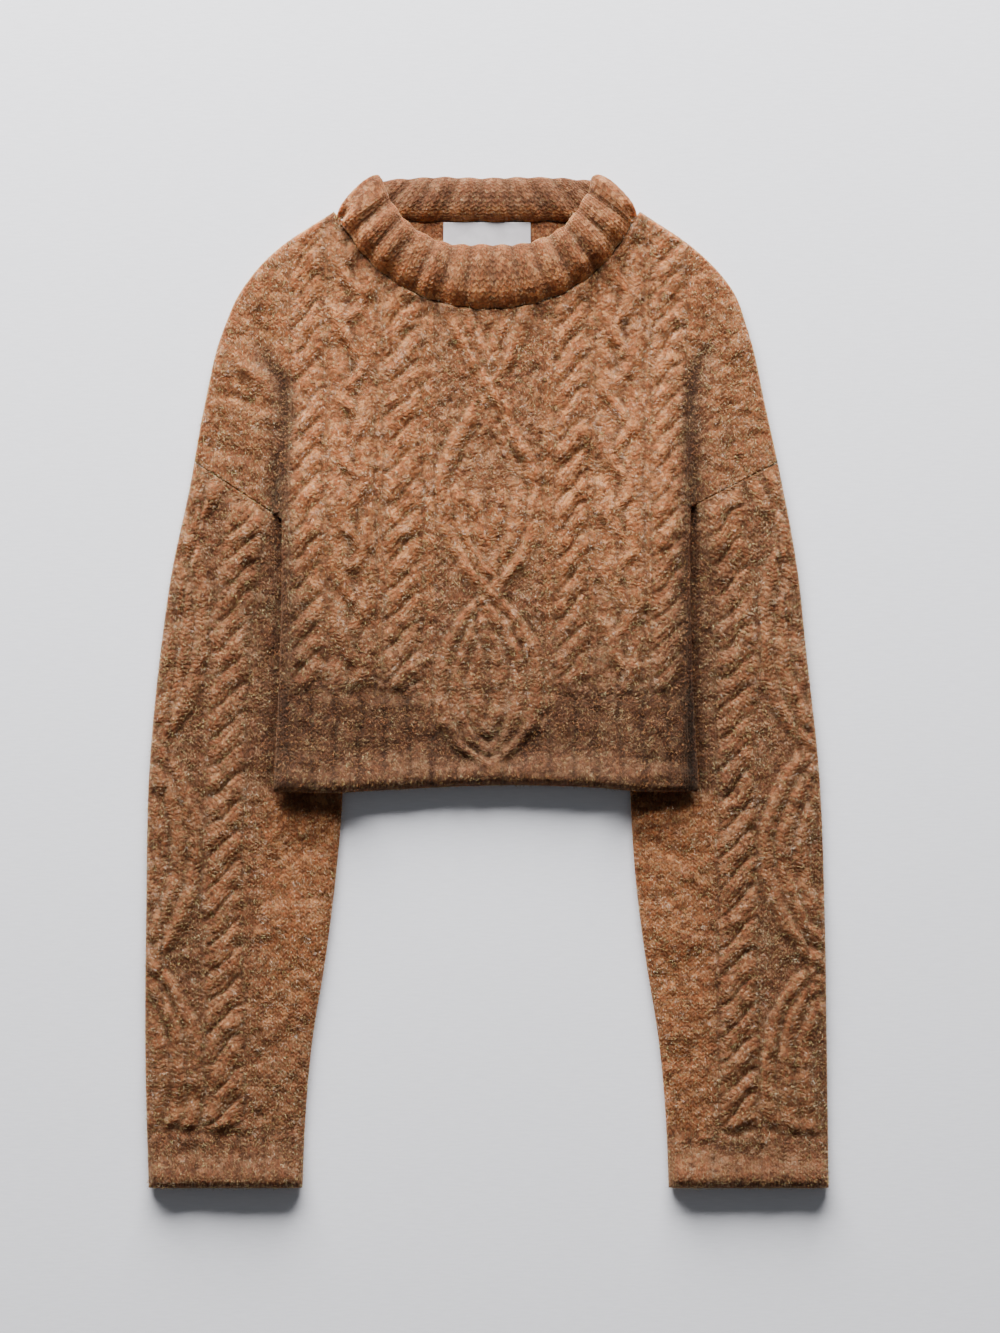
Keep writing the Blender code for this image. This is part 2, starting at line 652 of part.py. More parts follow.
def make_sleeve(side, material):
    """A sleeve: a flat tube with a cabled upper wall, open at the armhole and at the cuff."""
    cuff_rows = [CUFF_END, CUFF_END + 2.5 * MM, CUFF_TOP - 14 * MM, CUFF_TOP - 4 * MM, CUFF_TOP]
    base = np.concatenate([cuff_rows, np.linspace(CUFF_TOP + ROW, SLEEVE_TOP, SLEEVE_ROWS)])
    x_top, y_top = settle_sleeve_points(side, base)
    flat_x, flat_y = x_top.ravel(), y_top.ravel()
    hand = -1 if side == "left" else 1
    inner_edge = np.abs(side_at(SLEEVE_INNER, side, flat_y))
    outer_edge = np.abs(side_at(SILHOUETTE, side, flat_y))
    edge = np.minimum(np.abs(flat_x) - inner_edge, outer_edge - np.abs(flat_x))
    rib_index = np.tile(np.arange(x_top.shape[1]) % 2, len(base))
    at_end = np.repeat(base <= CUFF_END + 0.1 * MM, x_top.shape[1])
    above_cuff = smooth_step(flat_y, CUFF_TOP, CUFF_TOP + 9 * MM)
    rib_fade = smooth_step(flat_y, CUFF_TOP, CUFF_TOP - 4 * MM)
    relief = sleeve_relief(side, flat_x, flat_y) * above_cuff + rib_index * RIB_RELIEF * rib_fade
    relief = relief * np.where(at_end, CUFF_RIM, 1)
    relief = relief * smooth_step(armhole_at(side, flat_x) - flat_y, 0, 3 * MM)
    middle = SLEEVE_HEIGHT / 2
    z_top = (middle + (SLEEVE_HEIGHT + relief - middle) * rounded(edge)).reshape(x_top.shape)

    outer_x, inner_x = x_top[:, -1] - hand * UNDER_INSET, x_top[:, 0] + hand * UNDER_INSET
    x_low = np.stack([outer_x, x_top[:, 11], x_top[:, 7], x_top[:, 4], x_top[:, 3], inner_x], axis=1)
    y_low = sleeve_rows(base[:, None], side, x_low)
    outer = np.stack([
        np.concatenate([x_top, x_low], axis=1),
        np.concatenate([y_top, y_low], axis=1),
        np.concatenate([z_top, np.zeros_like(x_low)], axis=1),
    ], axis=2)

    pick = np.unique(np.linspace(0, len(base) - 1, SLEEVE_INNER_ROWS).astype(int))
    first_x, last_x = x_top[pick, 0] + hand * WALL, x_top[pick, -1] - hand * WALL
    spots = [0.0, 0.08, 0.5, 0.92, 1.0, 0.92, 0.5, 0.08]
    lifts = [0.5, 1.0, 1.0, 1.0, 0.5, 0.0, 0.0, 0.0]
    x_in = np.stack([first_x + (last_x - first_x) * spot for spot in spots], axis=1)
    y_in = sleeve_rows(base[pick][:, None], side, x_in)
    z_in = np.tile(WALL + LAYER_GAP * np.array(lifts), (len(pick), 1))
    inner = np.stack([x_in, y_in, z_in], axis=2)

    rows, around = outer.shape[:2]
    inner_rows, inner_around = inner.shape[:2]
    shift = rows * around
    faces = tube_faces(rows, around, 0, leans_back=side == "left")
    faces += [face[::-1] for face in tube_faces(inner_rows, inner_around, shift)]
    for outer_row, inner_row, flip in ((0, 0, True), (rows - 1, inner_rows - 1, False)):
        ring = [outer_row * around + spot for spot in range(around)]
        inside = [shift + inner_row * inner_around + spot for spot in range(inner_around)]
        strip = bridge_by_place(ring, inside, outer[outer_row], inner[inner_row])
        faces += [face[::-1] for face in strip] if flip else strip
    points = np.concatenate([outer.reshape(-1, 3), inner.reshape(-1, 3)])
    return make_object("sleeve_" + side, points, faces, material)


def loop_share(points, top_count):
    """Share of the way round a flat loop: 0 to 0.5 over its top and 0.5 to 1 along its underside."""
    x = points[:, 0]
    reach = np.abs(x - x[0]) / abs(x[top_count - 1] - x[0])
    share = 0.5 * reach
    share[top_count:] = 1 - 0.5 * reach[top_count:]
    return share


def bridge_by_place(ring, inside, ring_points, inside_points):
    """Triangles between two flat loops, stepping on whichever lies further back."""
    ring_share = np.append(loop_share(ring_points, len(ring) - SLEEVE_UNDER_POINTS), 1.0)
    inside_share = np.append(loop_share(inside_points, 5), 1.0)
    faces = []
    a = b = 0
    while a < len(ring) or b < len(inside):
        step_ring = b >= len(inside) or (a < len(ring) and ring_share[a + 1] <= inside_share[b + 1])
        here, there = ring[a % len(ring)], inside[b % len(inside)]
        if step_ring:
            faces.append((here, ring[(a + 1) % len(ring)], there))
            a += 1
        else:
            faces.append((here, inside[(b + 1) % len(inside)], there))
            b += 1
    return faces


def band_turn(hand, rising):
    """Stations where the loop turns over at one shoulder, rising from the back half or falling to it."""
    low, high = np.stack([BAND_SIDE["x"] * hand, BAND_SIDE["y"]], axis=1)
    along_fold = (high - low) / np.linalg.norm(high - low)
    outward = hand * np.array([along_fold[1], -along_fold[0]])
    low = low - outward * (BAND_THICK + LAYER_GAP / 2) + along_fold * SEAM_GAP
    high = high - outward * (BAND_THICK + LAYER_GAP / 2)
    radius = (BAND_THICK + LAYER_GAP) / 2
    angles = math.pi * (np.arange(BAND_TURN_STEPS) + 0.5) / BAND_TURN_STEPS
    if rising:
        angles = angles[::-1]
    normals = np.column_stack([np.outer(np.sin(angles), outward), np.cos(angles)])
    shift = normals[:, :2] * radius
    centre_height = BAND_THICK + LAYER_GAP / 2
    return low + shift, high + shift, normals, centre_height + radius * np.cos(angles)


def band_half(seam, fold, count, trim, upward, height):
    """Stations along one half of the band, level or resting on what lies below it."""
    spots = count + 2 * trim
    seam_points = along(seam, spots)[trim:-trim]
    fold_points = along(fold, count + 2)[1:-1]
    normals = np.tile([0.0, 0.0, upward], (count, 1))
    return seam_points, fold_points, normals, np.broadcast_to(height, count)


def band_stations():
    """Seam point, folded-edge point, outward direction and height at each station round the band.

    The front half runs from left to right with its outside up, the loop turns over at the right
    shoulder, the back half returns with its outside down, and the loop turns over at the left.
    """
    steps = BAND_RIBS * BAND_RIB_STEPS
    front_count = int(steps * BAND_FRONT_SHARE)
    back_count = steps - front_count - 2 * BAND_TURN_STEPS
    aside = np.abs(np.linspace(-1, 1, front_count))
    on_back_half = BAND_THICK + LAYER_GAP
    under = BAND_FRONT_UNDER + (on_back_half - BAND_FRONT_UNDER) * smooth_step(aside, 0.45, 0.80)
    front = band_half(FRONT_NECK, BAND_FRONT_FOLD, front_count, 2, 1.0, under + BAND_THICK / 2)
    back = band_half(BACK_NECK, BAND_BACK_FOLD, back_count, 2, -1.0, BAND_THICK / 2)
    returning = [part[::-1] for part in back]
    parts = zip(front, band_turn(1, False), returning, band_turn(-1, True))
    return [np.concatenate(part) for part in parts]


def make_neckband(material):
    """The neckband: one loop of doubled rib, flattened, with a seam edge and a folded edge."""
    seam, fold, normals, heights = band_stations()
    count, around = len(seam), len(BAND_PROFILE)
    reach = SEAM_REACH + (1 - SEAM_REACH) * np.array([row[0] for row in BAND_PROFILE])
    depth = np.array([row[1] for row in BAND_PROFILE]) * BAND_THICK
    raised = np.where(np.arange(count) % BAND_RIB_STEPS < BAND_RIB_STEPS // 2, 1.0, BAND_PURL)
    plan = seam[:, None, :] + (fold - seam)[:, None, :] * reach[None, :, None]
    middle = np.concatenate([plan, np.repeat(heights[:, None], around, axis=1)[:, :, None]], axis=2)
    points = middle + normals[:, None, :] * (depth[None, :] * raised[:, None])[:, :, None]
    faces = tube_faces(count, around, 0)
    last = (count - 1) * around
    for spot in range(around):
        after = (spot + 1) % around
        faces += [(last + spot, last + after, after), (last + spot, after, spot)]
    return make_object("neckband", points.reshape(-1, 3), faces, material)


def make_label(material):
    """The label: a bare strip on the inside of the back, below the neckband."""
    z = WALL + SEAM_GAP
    low = LABEL_TOP - LABEL_HEIGHT
    half = LABEL_WIDTH / 2
    corners = [(-half, low), (half, low), (half, LABEL_TOP), (-half, LABEL_TOP)]
    points = [(x, y, z) for x, y in corners] + [(x, y, z + LABEL_THICK) for x, y in corners]
    faces = [(3, 2, 1, 0), (4, 5, 6, 7)]
    faces += [(i, (i + 1) % 4, 4 + (i + 1) % 4, 4 + i) for i in range(4)]
    return make_object("label", points, faces, material)


def main():
    for old in list(bpy.data.objects):
        bpy.data.objects.remove(old, do_unlink=True)
    make_front(knit_material("front_knit", CARAMEL, 0.9))
    make_back(knit_material("back_knit", CARAMEL, 0.9))
    make_sleeve("left", knit_material("sleeve_left_knit", CARAMEL, 0.9))
    make_sleeve("right", knit_material("sleeve_right_knit", CARAMEL, 0.9))
    make_neckband(knit_material("neckband_rib", DARK_CARAMEL, 0.9))
    make_label(knit_material("label_satin", LABEL_WHITE, 0.6))


main()
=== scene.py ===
import math

import bpy
import numpy as np
from bpy.props import FloatProperty, FloatVectorProperty, IntProperty, PointerProperty
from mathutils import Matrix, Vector
from mathutils.geometry import delaunay_2d_cdt


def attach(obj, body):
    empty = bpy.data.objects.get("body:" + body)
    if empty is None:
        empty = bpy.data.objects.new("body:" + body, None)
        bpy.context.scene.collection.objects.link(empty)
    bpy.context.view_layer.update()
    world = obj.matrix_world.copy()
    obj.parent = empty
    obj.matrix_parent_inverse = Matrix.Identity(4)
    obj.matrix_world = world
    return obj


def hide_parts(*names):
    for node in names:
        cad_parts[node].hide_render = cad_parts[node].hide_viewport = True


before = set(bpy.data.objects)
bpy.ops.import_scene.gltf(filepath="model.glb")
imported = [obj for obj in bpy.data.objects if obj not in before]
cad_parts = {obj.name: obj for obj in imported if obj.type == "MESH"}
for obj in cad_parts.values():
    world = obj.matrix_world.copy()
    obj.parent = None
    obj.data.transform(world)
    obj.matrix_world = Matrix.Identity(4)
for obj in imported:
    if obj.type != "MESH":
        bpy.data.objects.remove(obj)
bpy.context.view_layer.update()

bl_info = {
    "name": "Cable-knit sweater",
    "version": (1, 0, 0),
    "blender": (4, 5, 0),
    "location": "View3D > Sidebar > Sweater",
    "description": "Knitted shells, fuzz and yarn materials of a cropped sweater that lies flat",
    "category": "Add Mesh",
}

MM = 0.001

# Knitting
COLUMN = 4.125 * MM         # width of one stitch
ROW = 3.43 * MM             # height of one stitch
WALL = 4.0 * MM             # thickness of the plain ground
LAYER_GAP = 1.0 * MM        # air between two panels that lie on each other
SEAM_GAP = 0.3 * MM         # air between two pieces at a seam
ROPE_PITCH = 20.6 * MM      # height of one twist of a rope cable
RIB_PITCH = 16.5 * MM       # two knit columns and two purl columns
PLAIT_PITCH = 131.0 * MM    # height in which one strand of a plait returns to its place
PLAIT_CROSSING = 109.0 * MM  # height of one crossing on the left of a plait
STRAND_STEP = 12.6 * MM     # distance between the strands of a diamond
STRAND_HALF = 6.2 * MM      # half the width of such a strand
GROUND_DIP = 0.8 * MM       # how far the ground between the cables lies below the plain wall
STITCH_RELIEF = 0.35 * MM   # how far one stitch stands out
DEEPEST = -3.4 * MM         # lowest that a valley may go below the plain wall
PLAIN_OPEN = 0.62           # openness to light of plain knitting
CLOTH_SEED = 5              # the same on front and sleeves, so the lumps run on across the armholes

# Laid form
SLEEVE_HEIGHT = 2 * WALL + LAYER_GAP
LIFT = SLEEVE_HEIGHT + 0.6 * MM     # how high the body's sides lie, above the sleeves
LIFT_START, LIFT_END = 78 * MM, 103 * MM    # across: where the body leaves the surface and is up
LIFT_TOP, LIFT_FULL = 235 * MM, 100 * MM    # along: where the sides begin to rise and are up
FOLD_STEP = 8 * MM          # width of the step from the body down to the shoulder
EDGE_ROUND = 11 * MM        # radius over which a folded side rounds off
CUT_ROUND = 4.5 * MM        # radius over which a knitted edge rounds off
RIM_GAP = 0.2 * MM          # how far the front's rim stands above its underside
END_SWELL = 7 * MM          # how far the fullest part of a hem or cuff lies from its end
END_WIDTH = 11 * MM         # width of that swell
RIB_TOP = -6 * MM           # where the hem's rib ends
CUFF_END, CUFF_TOP = -354 * MM, -316 * MM
SLEEVE_TOP = 78 * MM        # height of the underarm, hidden under the body
BAND_THICK = 10.0 * MM
BAND_FRONT_UNDER = 5.4 * MM  # height of the front half's underside
BAND_RIBS = 24
BAND_RIB_STEPS = 4          # stations for each rib
BAND_TURN_STEPS = 5         # stations where the loop turns over at a shoulder
LABEL_LEFT, LABEL_RIGHT = -30.5 * MM, 30.5 * MM
LABEL_LOW, LABEL_TOP = 301.5 * MM, 320.5 * MM
LABEL_THICK = 0.6 * MM

# How finely the surfaces are worked out
BLOCK = 8000                # points whose distances are worked out at once
HEM_RUN, NECK_RUN = 0.297, 0.26     # rough lengths of the outline's parts, which set how many
SIDE_RUN, ARMHOLE_RUN, EDGE_RUN = 0.19, 0.073, 0.205    # points each part gets
SLEEVE_ROWS, SLEEVE_ACROSS = 372, 98    # rows along a sleeve, and points across its upper wall
UNDER_ACROSS, INSIDE_ROWS = 21, 14      # points across its underside, and rows along its inside
BAND_FINER, BAND_AROUND = 6, 56     # points between two stations, and points round the section
LABEL_ACROSS, LABEL_UP = 92, 30

# Fibres, as shares of the usual length, of the way outwards and of the lightness
FIBRE_LENGTHS, FIBRE_RISE, FIBRE_TONES = (0.45, 1.25), (0.15, 0.9), (0.8, 1.3)

# Stage, in metres
FLOOR_HALF, FLOOR_HEIGHT = 4.0, -0.0002
LIGHT_ASIDE, LIGHT_AWAY = -0.25, 2.6
VIEW_CENTRE = (0.0091, 0.01015)     # what the camera looks straight down at
VIEW_SPAN = 0.9331                  # longer side of the view at the floor


def table(columns, rows):
    """Rows in millimetres as a dictionary of named columns in metres."""
    values = np.array(rows, dtype=float) * MM
    return {name: values[:, index] for index, name in enumerate(columns.split())}


# The lines of the laid sweater, as its solids have them, and the fold that shows beside the body
SILHOUETTE = table("y left right", [
    (328, -107, 107), (302, -146, 145), (274, -171, 171), (246, -184, 182), (190, -198, 195),
    (134, -208, 207), (78, -220, 217), (22, -228, 223), (-62, -236, 232), (-160, -238.2, 236),
    (-265, -238.8, 237.6), (-354, -236.5, 238.8),
])
SLEEVE_INNER = table("y left right", [
    (78, -103, 103), (-97, -102, 101), (-140, -106, 104), (-195, -113, 111), (-251, -122, 120),
    (-307, -127, 125), (-354, -129, 127),
])
BODY_SIDE = table("y left right", [
    (240, -158, 157), (205, -154, 150), (165, -146, 144), (85, -143, 142), (0, -145, 143.5),
    (-78, -149, 148),
])
SIDE_FOLD = table("y left right", [
    (250, -166, 164), (236, -159, 156), (222, -152, 148), (210, -144, 144.5), (197, -141.5, 143),
    (165, -142.5, 142.5), (127, -145, 143), (92, -146, 143.5), (22, -149, 144), (-78, -151, 142),
])
ARMHOLE = {
    "left": table("x y", [(-204.5, 153), (-143.3, 113), (-103, 82)]),
    "right": table("x y", [(203.5, 153), (142.6, 121), (103, 84)]),
}
HEM = table("x y", [
    (-149, -77), (-110, -78), (-68, -76), (0, -73), (68, -74), (110, -77), (148, -77),
])
FRONT_NECK = table("x y", [
    (-107, 328), (-98, 314), (-84, 295), (-62, 277), (-33, 264.5), (1, 260),
    (35, 264.5), (64, 277), (85, 295), (98, 314), (107, 328),
])
BACK_NECK = table("x y", [
    (-107, 328), (-98, 319.5), (-80, 320.5), (-40, 321.5), (0, 321),
    (40, 321.5), (80, 320.5), (98, 319.5), (107, 328),
])
BAND_FRONT_FOLD = table("x y", [
    (-72, 345), (-65, 332), (-53, 318), (-31, 306.5), (0, 304.5),
    (31, 306.5), (54, 318), (65, 332), (72, 345),
])
BAND_BACK_FOLD = table("x y", [(-72, 350), (-40, 352), (0, 351.5), (40, 352), (72, 350)])
BAND_SIDE = table("x y", [(107, 328), (79, 356)])
SLEEVE_ROPE = table("y left right", [
    (160, -160, 160), (57, -176, 172), (-83, -183, 174), (-354, -183, 176),
])
SLEEVE_ROPE_WIDTH = 28 * MM
FRONT_CROSSINGS = np.array([404.0, 204.0, 60.0, -59.0]) * MM
SLEEVE_CROSSINGS = np.array([249.0, 102.0, -45.0, -196.0, -343.0]) * MM
ROPES = table("centre width", [(-125.5, 24.5), (-58.5, 28), (59.5, 25.5), (127, 26)])
PLAITS = table("centre width", [(-94, 35), (93, 35)])
DIAMOND_CENTRE, DIAMOND_WIDTH = 1.0 * MM, 78.0 * MM

# Folds pressed into the cloth: x and y of both ends, half width, and depth, negative for a ridge
FRONT_CREASES = np.array([
    (-184, 201, -158, 192, 4, 1.6), (-172, 262, -150, 236, 6, 1.4), (150, 290, 126, 262, 5, 1.4),
    (178, 215, 158, 226, 5, 1.5), (-195, 165, -166, 156, 5, 1.3), (194, 172, 168, 166, 5, 1.3),
    (-186, 226, -162, 214, 7, -1.2), (188, 240, 166, 246, 7, -1.1), (-60, 40, -20, 22, 16, 0.9),
    (30, 130, 70, 146, 18, 0.8),
]) * MM
SLEEVE_CREASES = {
    "left": np.array([
        (-222, 40, -186, 52, 9, 1.3), (-150, 20, -168, -12, 10, 1.0), (-112, -108, -146, -126, 8, 1.5),
        (-118, -176, -150, -168, 10, -1.0), (-232, -120, -200, -134, 9, 1.2),
        (-136, -250, -160, -262, 9, 1.0), (-234, -300, -204, -292, 7, 1.3), (-150, -322, -176, -318, 5, 1.2),
    ]) * MM,
    "right": np.array([
        (220, 30, 190, 46, 9, 1.2), (148, 10, 160, -22, 10, 1.0), (110, -112, 140, -122, 8, 1.5),
        (116, -190, 150, -180, 10, -1.0), (232, -140, 204, -128, 9, 1.2), (132, -262, 156, -254, 9, 1.1),
        (234, -310, 210, -300, 7, 1.2), (140, -326, 170, -320, 5, 1.0),
    ]) * MM,
}
BACK_CREASES = np.array([
    (-120, 210, -60, 190, 9, 1.2), (40, 250, 95, 226, 8, 1.1), (-90, 60, -30, 48, 12, 1.0),
    (60, 90, 118, 112, 10, 1.2), (-20, -20, 30, -34, 9, 0.9), (-186, 214, -160, 198, 7, 1.1),
    (186, 206, 160, 188, 7, 1.1), (0, 150, 34, 128, 14, 0.8),
]) * MM
UNDER_CREASES = {
    "left": np.array([
        (-214, 30, -178, 22, 9, 1.2), (-206, -70, -160, -88, 10, 1.1), (-128, -170, -166, -186, 9, 1.2),
        (-222, -230, -186, -222, 9, 1.0), (-150, -300, -186, -306, 8, 1.1),
    ]) * MM,
    "right": np.array([
        (212, 18, 176, 28, 9, 1.2), (204, -84, 162, -72, 10, 1.1), (126, -184, 168, -170, 9, 1.1),
        (222, -244, 190, -236, 9, 1.0), (148, -308, 182, -300, 8, 1.1),
    ]) * MM,
}


def smooth_step(value, low, high):
    """0 at low and 1 at high, with level ends; low may be the larger of the two."""
    t = np.clip((value - low) / (high - low), 0.0, 1.0)
    return t * t * (3 - 2 * t)


def step_mm(value, low, high):
    """The smooth step between two limits in millimetres."""
    return smooth_step(value, low * MM, high * MM)


def hill(value, middle, width):
    """1 at the middle and falling softly to both sides, as the exponential of minus a square."""
    return np.exp(-(((value - middle) / width) ** 2))


def curve_at(where, knots, values):
    """Cubic curve through the knots, which rise, with slopes taken from the neighbouring knots."""
    slopes = np.gradient(values, knots)
    index = np.clip(np.searchsorted(knots, where) - 1, 0, len(knots) - 2)
    span = knots[index + 1] - knots[index]
    t = np.clip((where - knots[index]) / span, 0.0, 1.0)
    return (
        (2 * t**3 - 3 * t**2 + 1) * values[index]
        + (t**3 - 2 * t**2 + t) * span * slopes[index]
        + (-2 * t**3 + 3 * t**2) * values[index + 1]
        + (t**3 - t**2) * span * slopes[index + 1]
    )


def side_at(lines, side, y):
    """X of the left or right line of a table whose rows run downwards."""
    return curve_at(np.asarray(y, dtype=float), lines["y"][::-1], lines[side][::-1])


def along(line, count):
    """Points at even steps along a smooth curve through a table of x and y."""
    lengths = np.hypot(np.diff(line["x"]), np.diff(line["y"]))
    knots = np.concatenate([[0.0], np.cumsum(lengths)])
    steps = np.linspace(0.0, knots[-1], count)
    return np.stack([curve_at(steps, knots, line["x"]), curve_at(steps, knots, line["y"])], axis=1)


def unit(vectors):
    """Each vector at a length of 1."""
    return vectors / np.linalg.norm(vectors, axis=1, keepdims=True)


def distance_to(points, path):
    """Distance in plan from each point to a path of straight segments, worked out in blocks."""
    start, step = path[:-1], np.diff(path, axis=0)
    long = np.maximum((step**2).sum(1), 1e-15)
    nearest = np.empty(len(points))
    for first in range(0, len(points), BLOCK):
        offset = points[first:first + BLOCK, None, :] - start[None]
        t = np.clip((offset * step).sum(2) / long, 0.0, 1.0)
        away = ((offset - t[:, :, None] * step) ** 2).sum(2)
        nearest[first:first + BLOCK] = np.sqrt(away.min(axis=1))
    return nearest


def lumps(x, y, size, seed):
    """Uneven heights from -1 to 1: random values at the corners of a lattice, blended smoothly.

    The size, in millimetres, is that of one cell.
    """
    values = np.random.default_rng(seed).uniform(-1, 1, (128, 128))
    size = size * MM
    u, v = x / size + 40, y / size + 40
    i, j = np.floor(u).astype(int), np.floor(v).astype(int)
    a, b = smooth_step(u - i, 0, 1), smooth_step(v - j, 0, 1)
    low = values[i % 128, j % 128] * (1 - a) + values[(i + 1) % 128, j % 128] * a
    high = values[i % 128, (j + 1) % 128] * (1 - a) + values[(i + 1) % 128, (j + 1) % 128] * a
    return low * (1 - b) + high * b


def lump_sum(x, y, seed, *parts):
    """Lumps of several sizes added up: each part is its share and size, with a seed of its own."""
    return sum(share * lumps(x, y, size, seed + index) for index, (share, size) in enumerate(parts))


def stitches_at(column, row):
    """Relief of single stitches from -1 to 1: a round column whose rows bend to a V."""
    across = column - np.floor(column)
    leg = np.abs(across - 0.5) * 2
    return -0.5 * np.cos(2 * math.pi * across) + 0.5 * np.cos(2 * math.pi * (row - 0.55 * leg))


def rope(x, y, centre, width):
    """Strands as half circles across, one each pitch, that rise to the right as a half sine.

    Gives the height from 0 to 1 and the columns and rows of stitches, which follow the strands.
    """
    u = np.clip((x - centre) / (width / 2), -1, 1)
    phase = (y - ROPE_PITCH / 2 * np.sin(math.pi / 2 * u)) / ROPE_PITCH
    phase = phase + 0.05 * lumps(x, y, 14, 3)
    across = phase - np.round(phase)
    strand = (1 - np.abs(2 * across) ** 2.4) ** 0.75
    height = (1 - np.abs(u) ** 3.4) * (0.16 + 0.84 * strand)
    return height, across * 2.2 + 0.5, (0.7 * (x - centre) + 0.7 * y) / ROW


def plait(x, y, centre, width):
    """Three strands that swing from side to side, each over the next at the outer crossings."""
    half = 0.20 * width
    swing = width / 2 - half
    height, column = np.zeros_like(x), np.zeros_like(x)
    for strand in range(3):
        turn = 2 * math.pi * ((y - PLAIT_CROSSING) / PLAIT_PITCH + 0.56 + strand / 3)
        middle = centre + swing * np.tanh(1.8 * np.sin(turn)) / math.tanh(1.8)
        offset = (x - middle) / half
        shape = np.clip(1 - offset**2, 0, 1) ** 0.75 * (0.68 + 0.32 * np.sin(2 * turn))
        column = np.where(shape > height, offset + 0.5, column)
        height = np.maximum(height, shape)
    return height, column, y / ROW


def diamond(x, y, centre, width, crossings, plain):
    """Three strands on each side, one inside the other, that open at one crossing and close at the next.

    Where two strands cross, the one that falls to the right lies on top, with a groove beside it.
    The upper half of one plain cell has its outer strands alone.
    """
    rising = crossings[::-1]
    cell = np.clip(np.searchsorted(rising, y) - 1, 0, len(rising) - 2)
    t = np.clip((y - rising[cell]) / (rising[cell + 1] - rising[cell]), 0, 1)
    slope = np.abs(2 * t - 1)
    bend = np.where((cell == plain) & (t > 0.5), 1.35, np.where((cell == 0) & (t < 0.5), 3.2, 2.1))
    outer = (width / 2 - 5 * MM) * (1 - slope**bend)
    height, column = np.zeros_like(x), x / COLUMN
    for strand in range(3):
        spread = outer - strand * STRAND_STEP
        share = 1 - 0.12 * strand - (0.8 * smooth_step(t, 0.45, 0.55) if strand else 0) * (cell == plain)
        there = step_mm(spread, -4, 1)
        near = smooth_step(spread, STRAND_STEP, 0)
        for hand in (-1, 1):
            below = near * (hand * (t - 0.5) < 0)
            offset = (x - centre - hand * np.maximum(spread, 0)) / (STRAND_HALF * (1 + 0.15 * slope))
            shape = np.clip(1 - offset**2, 0, 1) ** 0.75 * (1 - 0.35 * below) * there * share
            groove = 1 - 0.85 * near * (1 - below) * hill(np.abs(offset), 1.15, 0.25)
            column = np.where(shape > height, offset * 0.8 + 0.5, column)
            height = np.maximum(height * groove, shape)
    fade = smooth_step(np.abs(x - centre), width / 2, width / 2 - 3 * MM)
    return 0.95 * height * fade, column, y / ROW


def ribs(x):
    """A round rib for each pitch, from 0 in the narrow gap beside it to 1 on top."""
    phase = x / RIB_PITCH - 0.125
    away = np.abs(phase - np.round(phase))
    return np.clip(1 - (away / 0.48) ** 2.2, 0, 1) ** 0.8


def wander(x, y, seed):
    """X and y shifted by slow random amounts, as columns and rows of soft wool wander."""
    aside = lump_sum(x, y, seed, (1.6, 31), (1.2, 9))
    return x + aside * MM, y + lump_sum(x, y, seed + 2, (2.4, 27), (1.5, 8)) * MM


def creases(x, y, folds):
    """Depth of the folds: each is a trough along a line, deepest in its middle, of uneven width."""
    depth = np.zeros_like(x)
    points = np.stack([x, y], axis=1)
    for x0, y0, x1, y1, width, deep in folds:
        away = distance_to(points, np.array([[x0, y0], [x1, y1]]))
        width = width * (1 + 0.3 * lumps(x, y, 13, 17))
        depth += deep * hill(away, 0, width)
    return depth


def body_side(x, y):
    """Distance from the middle to the body's side line on each point's own side."""
    return np.where(x < 0, -side_at(BODY_SIDE, "left", y), side_at(BODY_SIDE, "right", y))


def lift_at(x, y):
    """Height of the body's underside: level in the middle and raised where it lies on a sleeve."""
    across = smooth_step(np.abs(x), LIFT_START, LIFT_END)
    up = smooth_step(y, LIFT_TOP, LIFT_FULL)
    corner = np.where(x < 0, ARMHOLE["left"]["y"][1], ARMHOLE["right"]["y"][1])
    inside = body_side(x, y) + 6 * MM - np.abs(x) + np.clip(corner - y, 0, None)
    return LIFT * across * up * smooth_step(inside, 0, FOLD_STEP)


def beside_body(x, y):
    """Distance outwards from the fold beside the body, and how much of it shows there."""
    line = np.where(x < 0, -side_at(SIDE_FOLD, "left", y), side_at(SIDE_FOLD, "right", y))
    return np.abs(x) - line, step_mm(y, 250, 212)


def fold_at(x, y):
    """Height of the fold beside the body on the shoulder: a deep valley with a swell outside it."""
    aside, shown = beside_body(x, y)
    valley, swell = 3.4 * hill(aside, 0, 5.5 * MM), 3.4 * hill(aside, 17 * MM, 9 * MM)
    return (swell - valley) * MM * shown


def fold_painted_shade(x, y):
    """Painted shade: darker wool in the fold beside the body, where shade falls."""
    aside, shown = beside_body(x, y)
    return 1 - np.where(x < 0, 0.78, 0.84) * shown * hill(aside, 0, 9 * MM)


def lay_over(x, y, parts):
    """Patterns over plain knitting: height, columns and rows of stitches, and openness to light.

    Each part is where it lies, its shape, the share of it that shows and its least openness.
    """
    height, column, row = np.zeros_like(x), x / COLUMN, y / ROW
    open_share = np.full_like(x, PLAIN_OPEN)
    for inside, (shape, columns, rows), share, least in parts:
        inside = inside & (share > 0.05)
        height = np.where(inside, shape * share, height)
        column, row = np.where(inside, columns, column), np.where(inside, rows, row)
        open_share = np.where(inside & (share > 0.5), least + (1 - least) * shape, open_share)
    return height, column, row, open_share


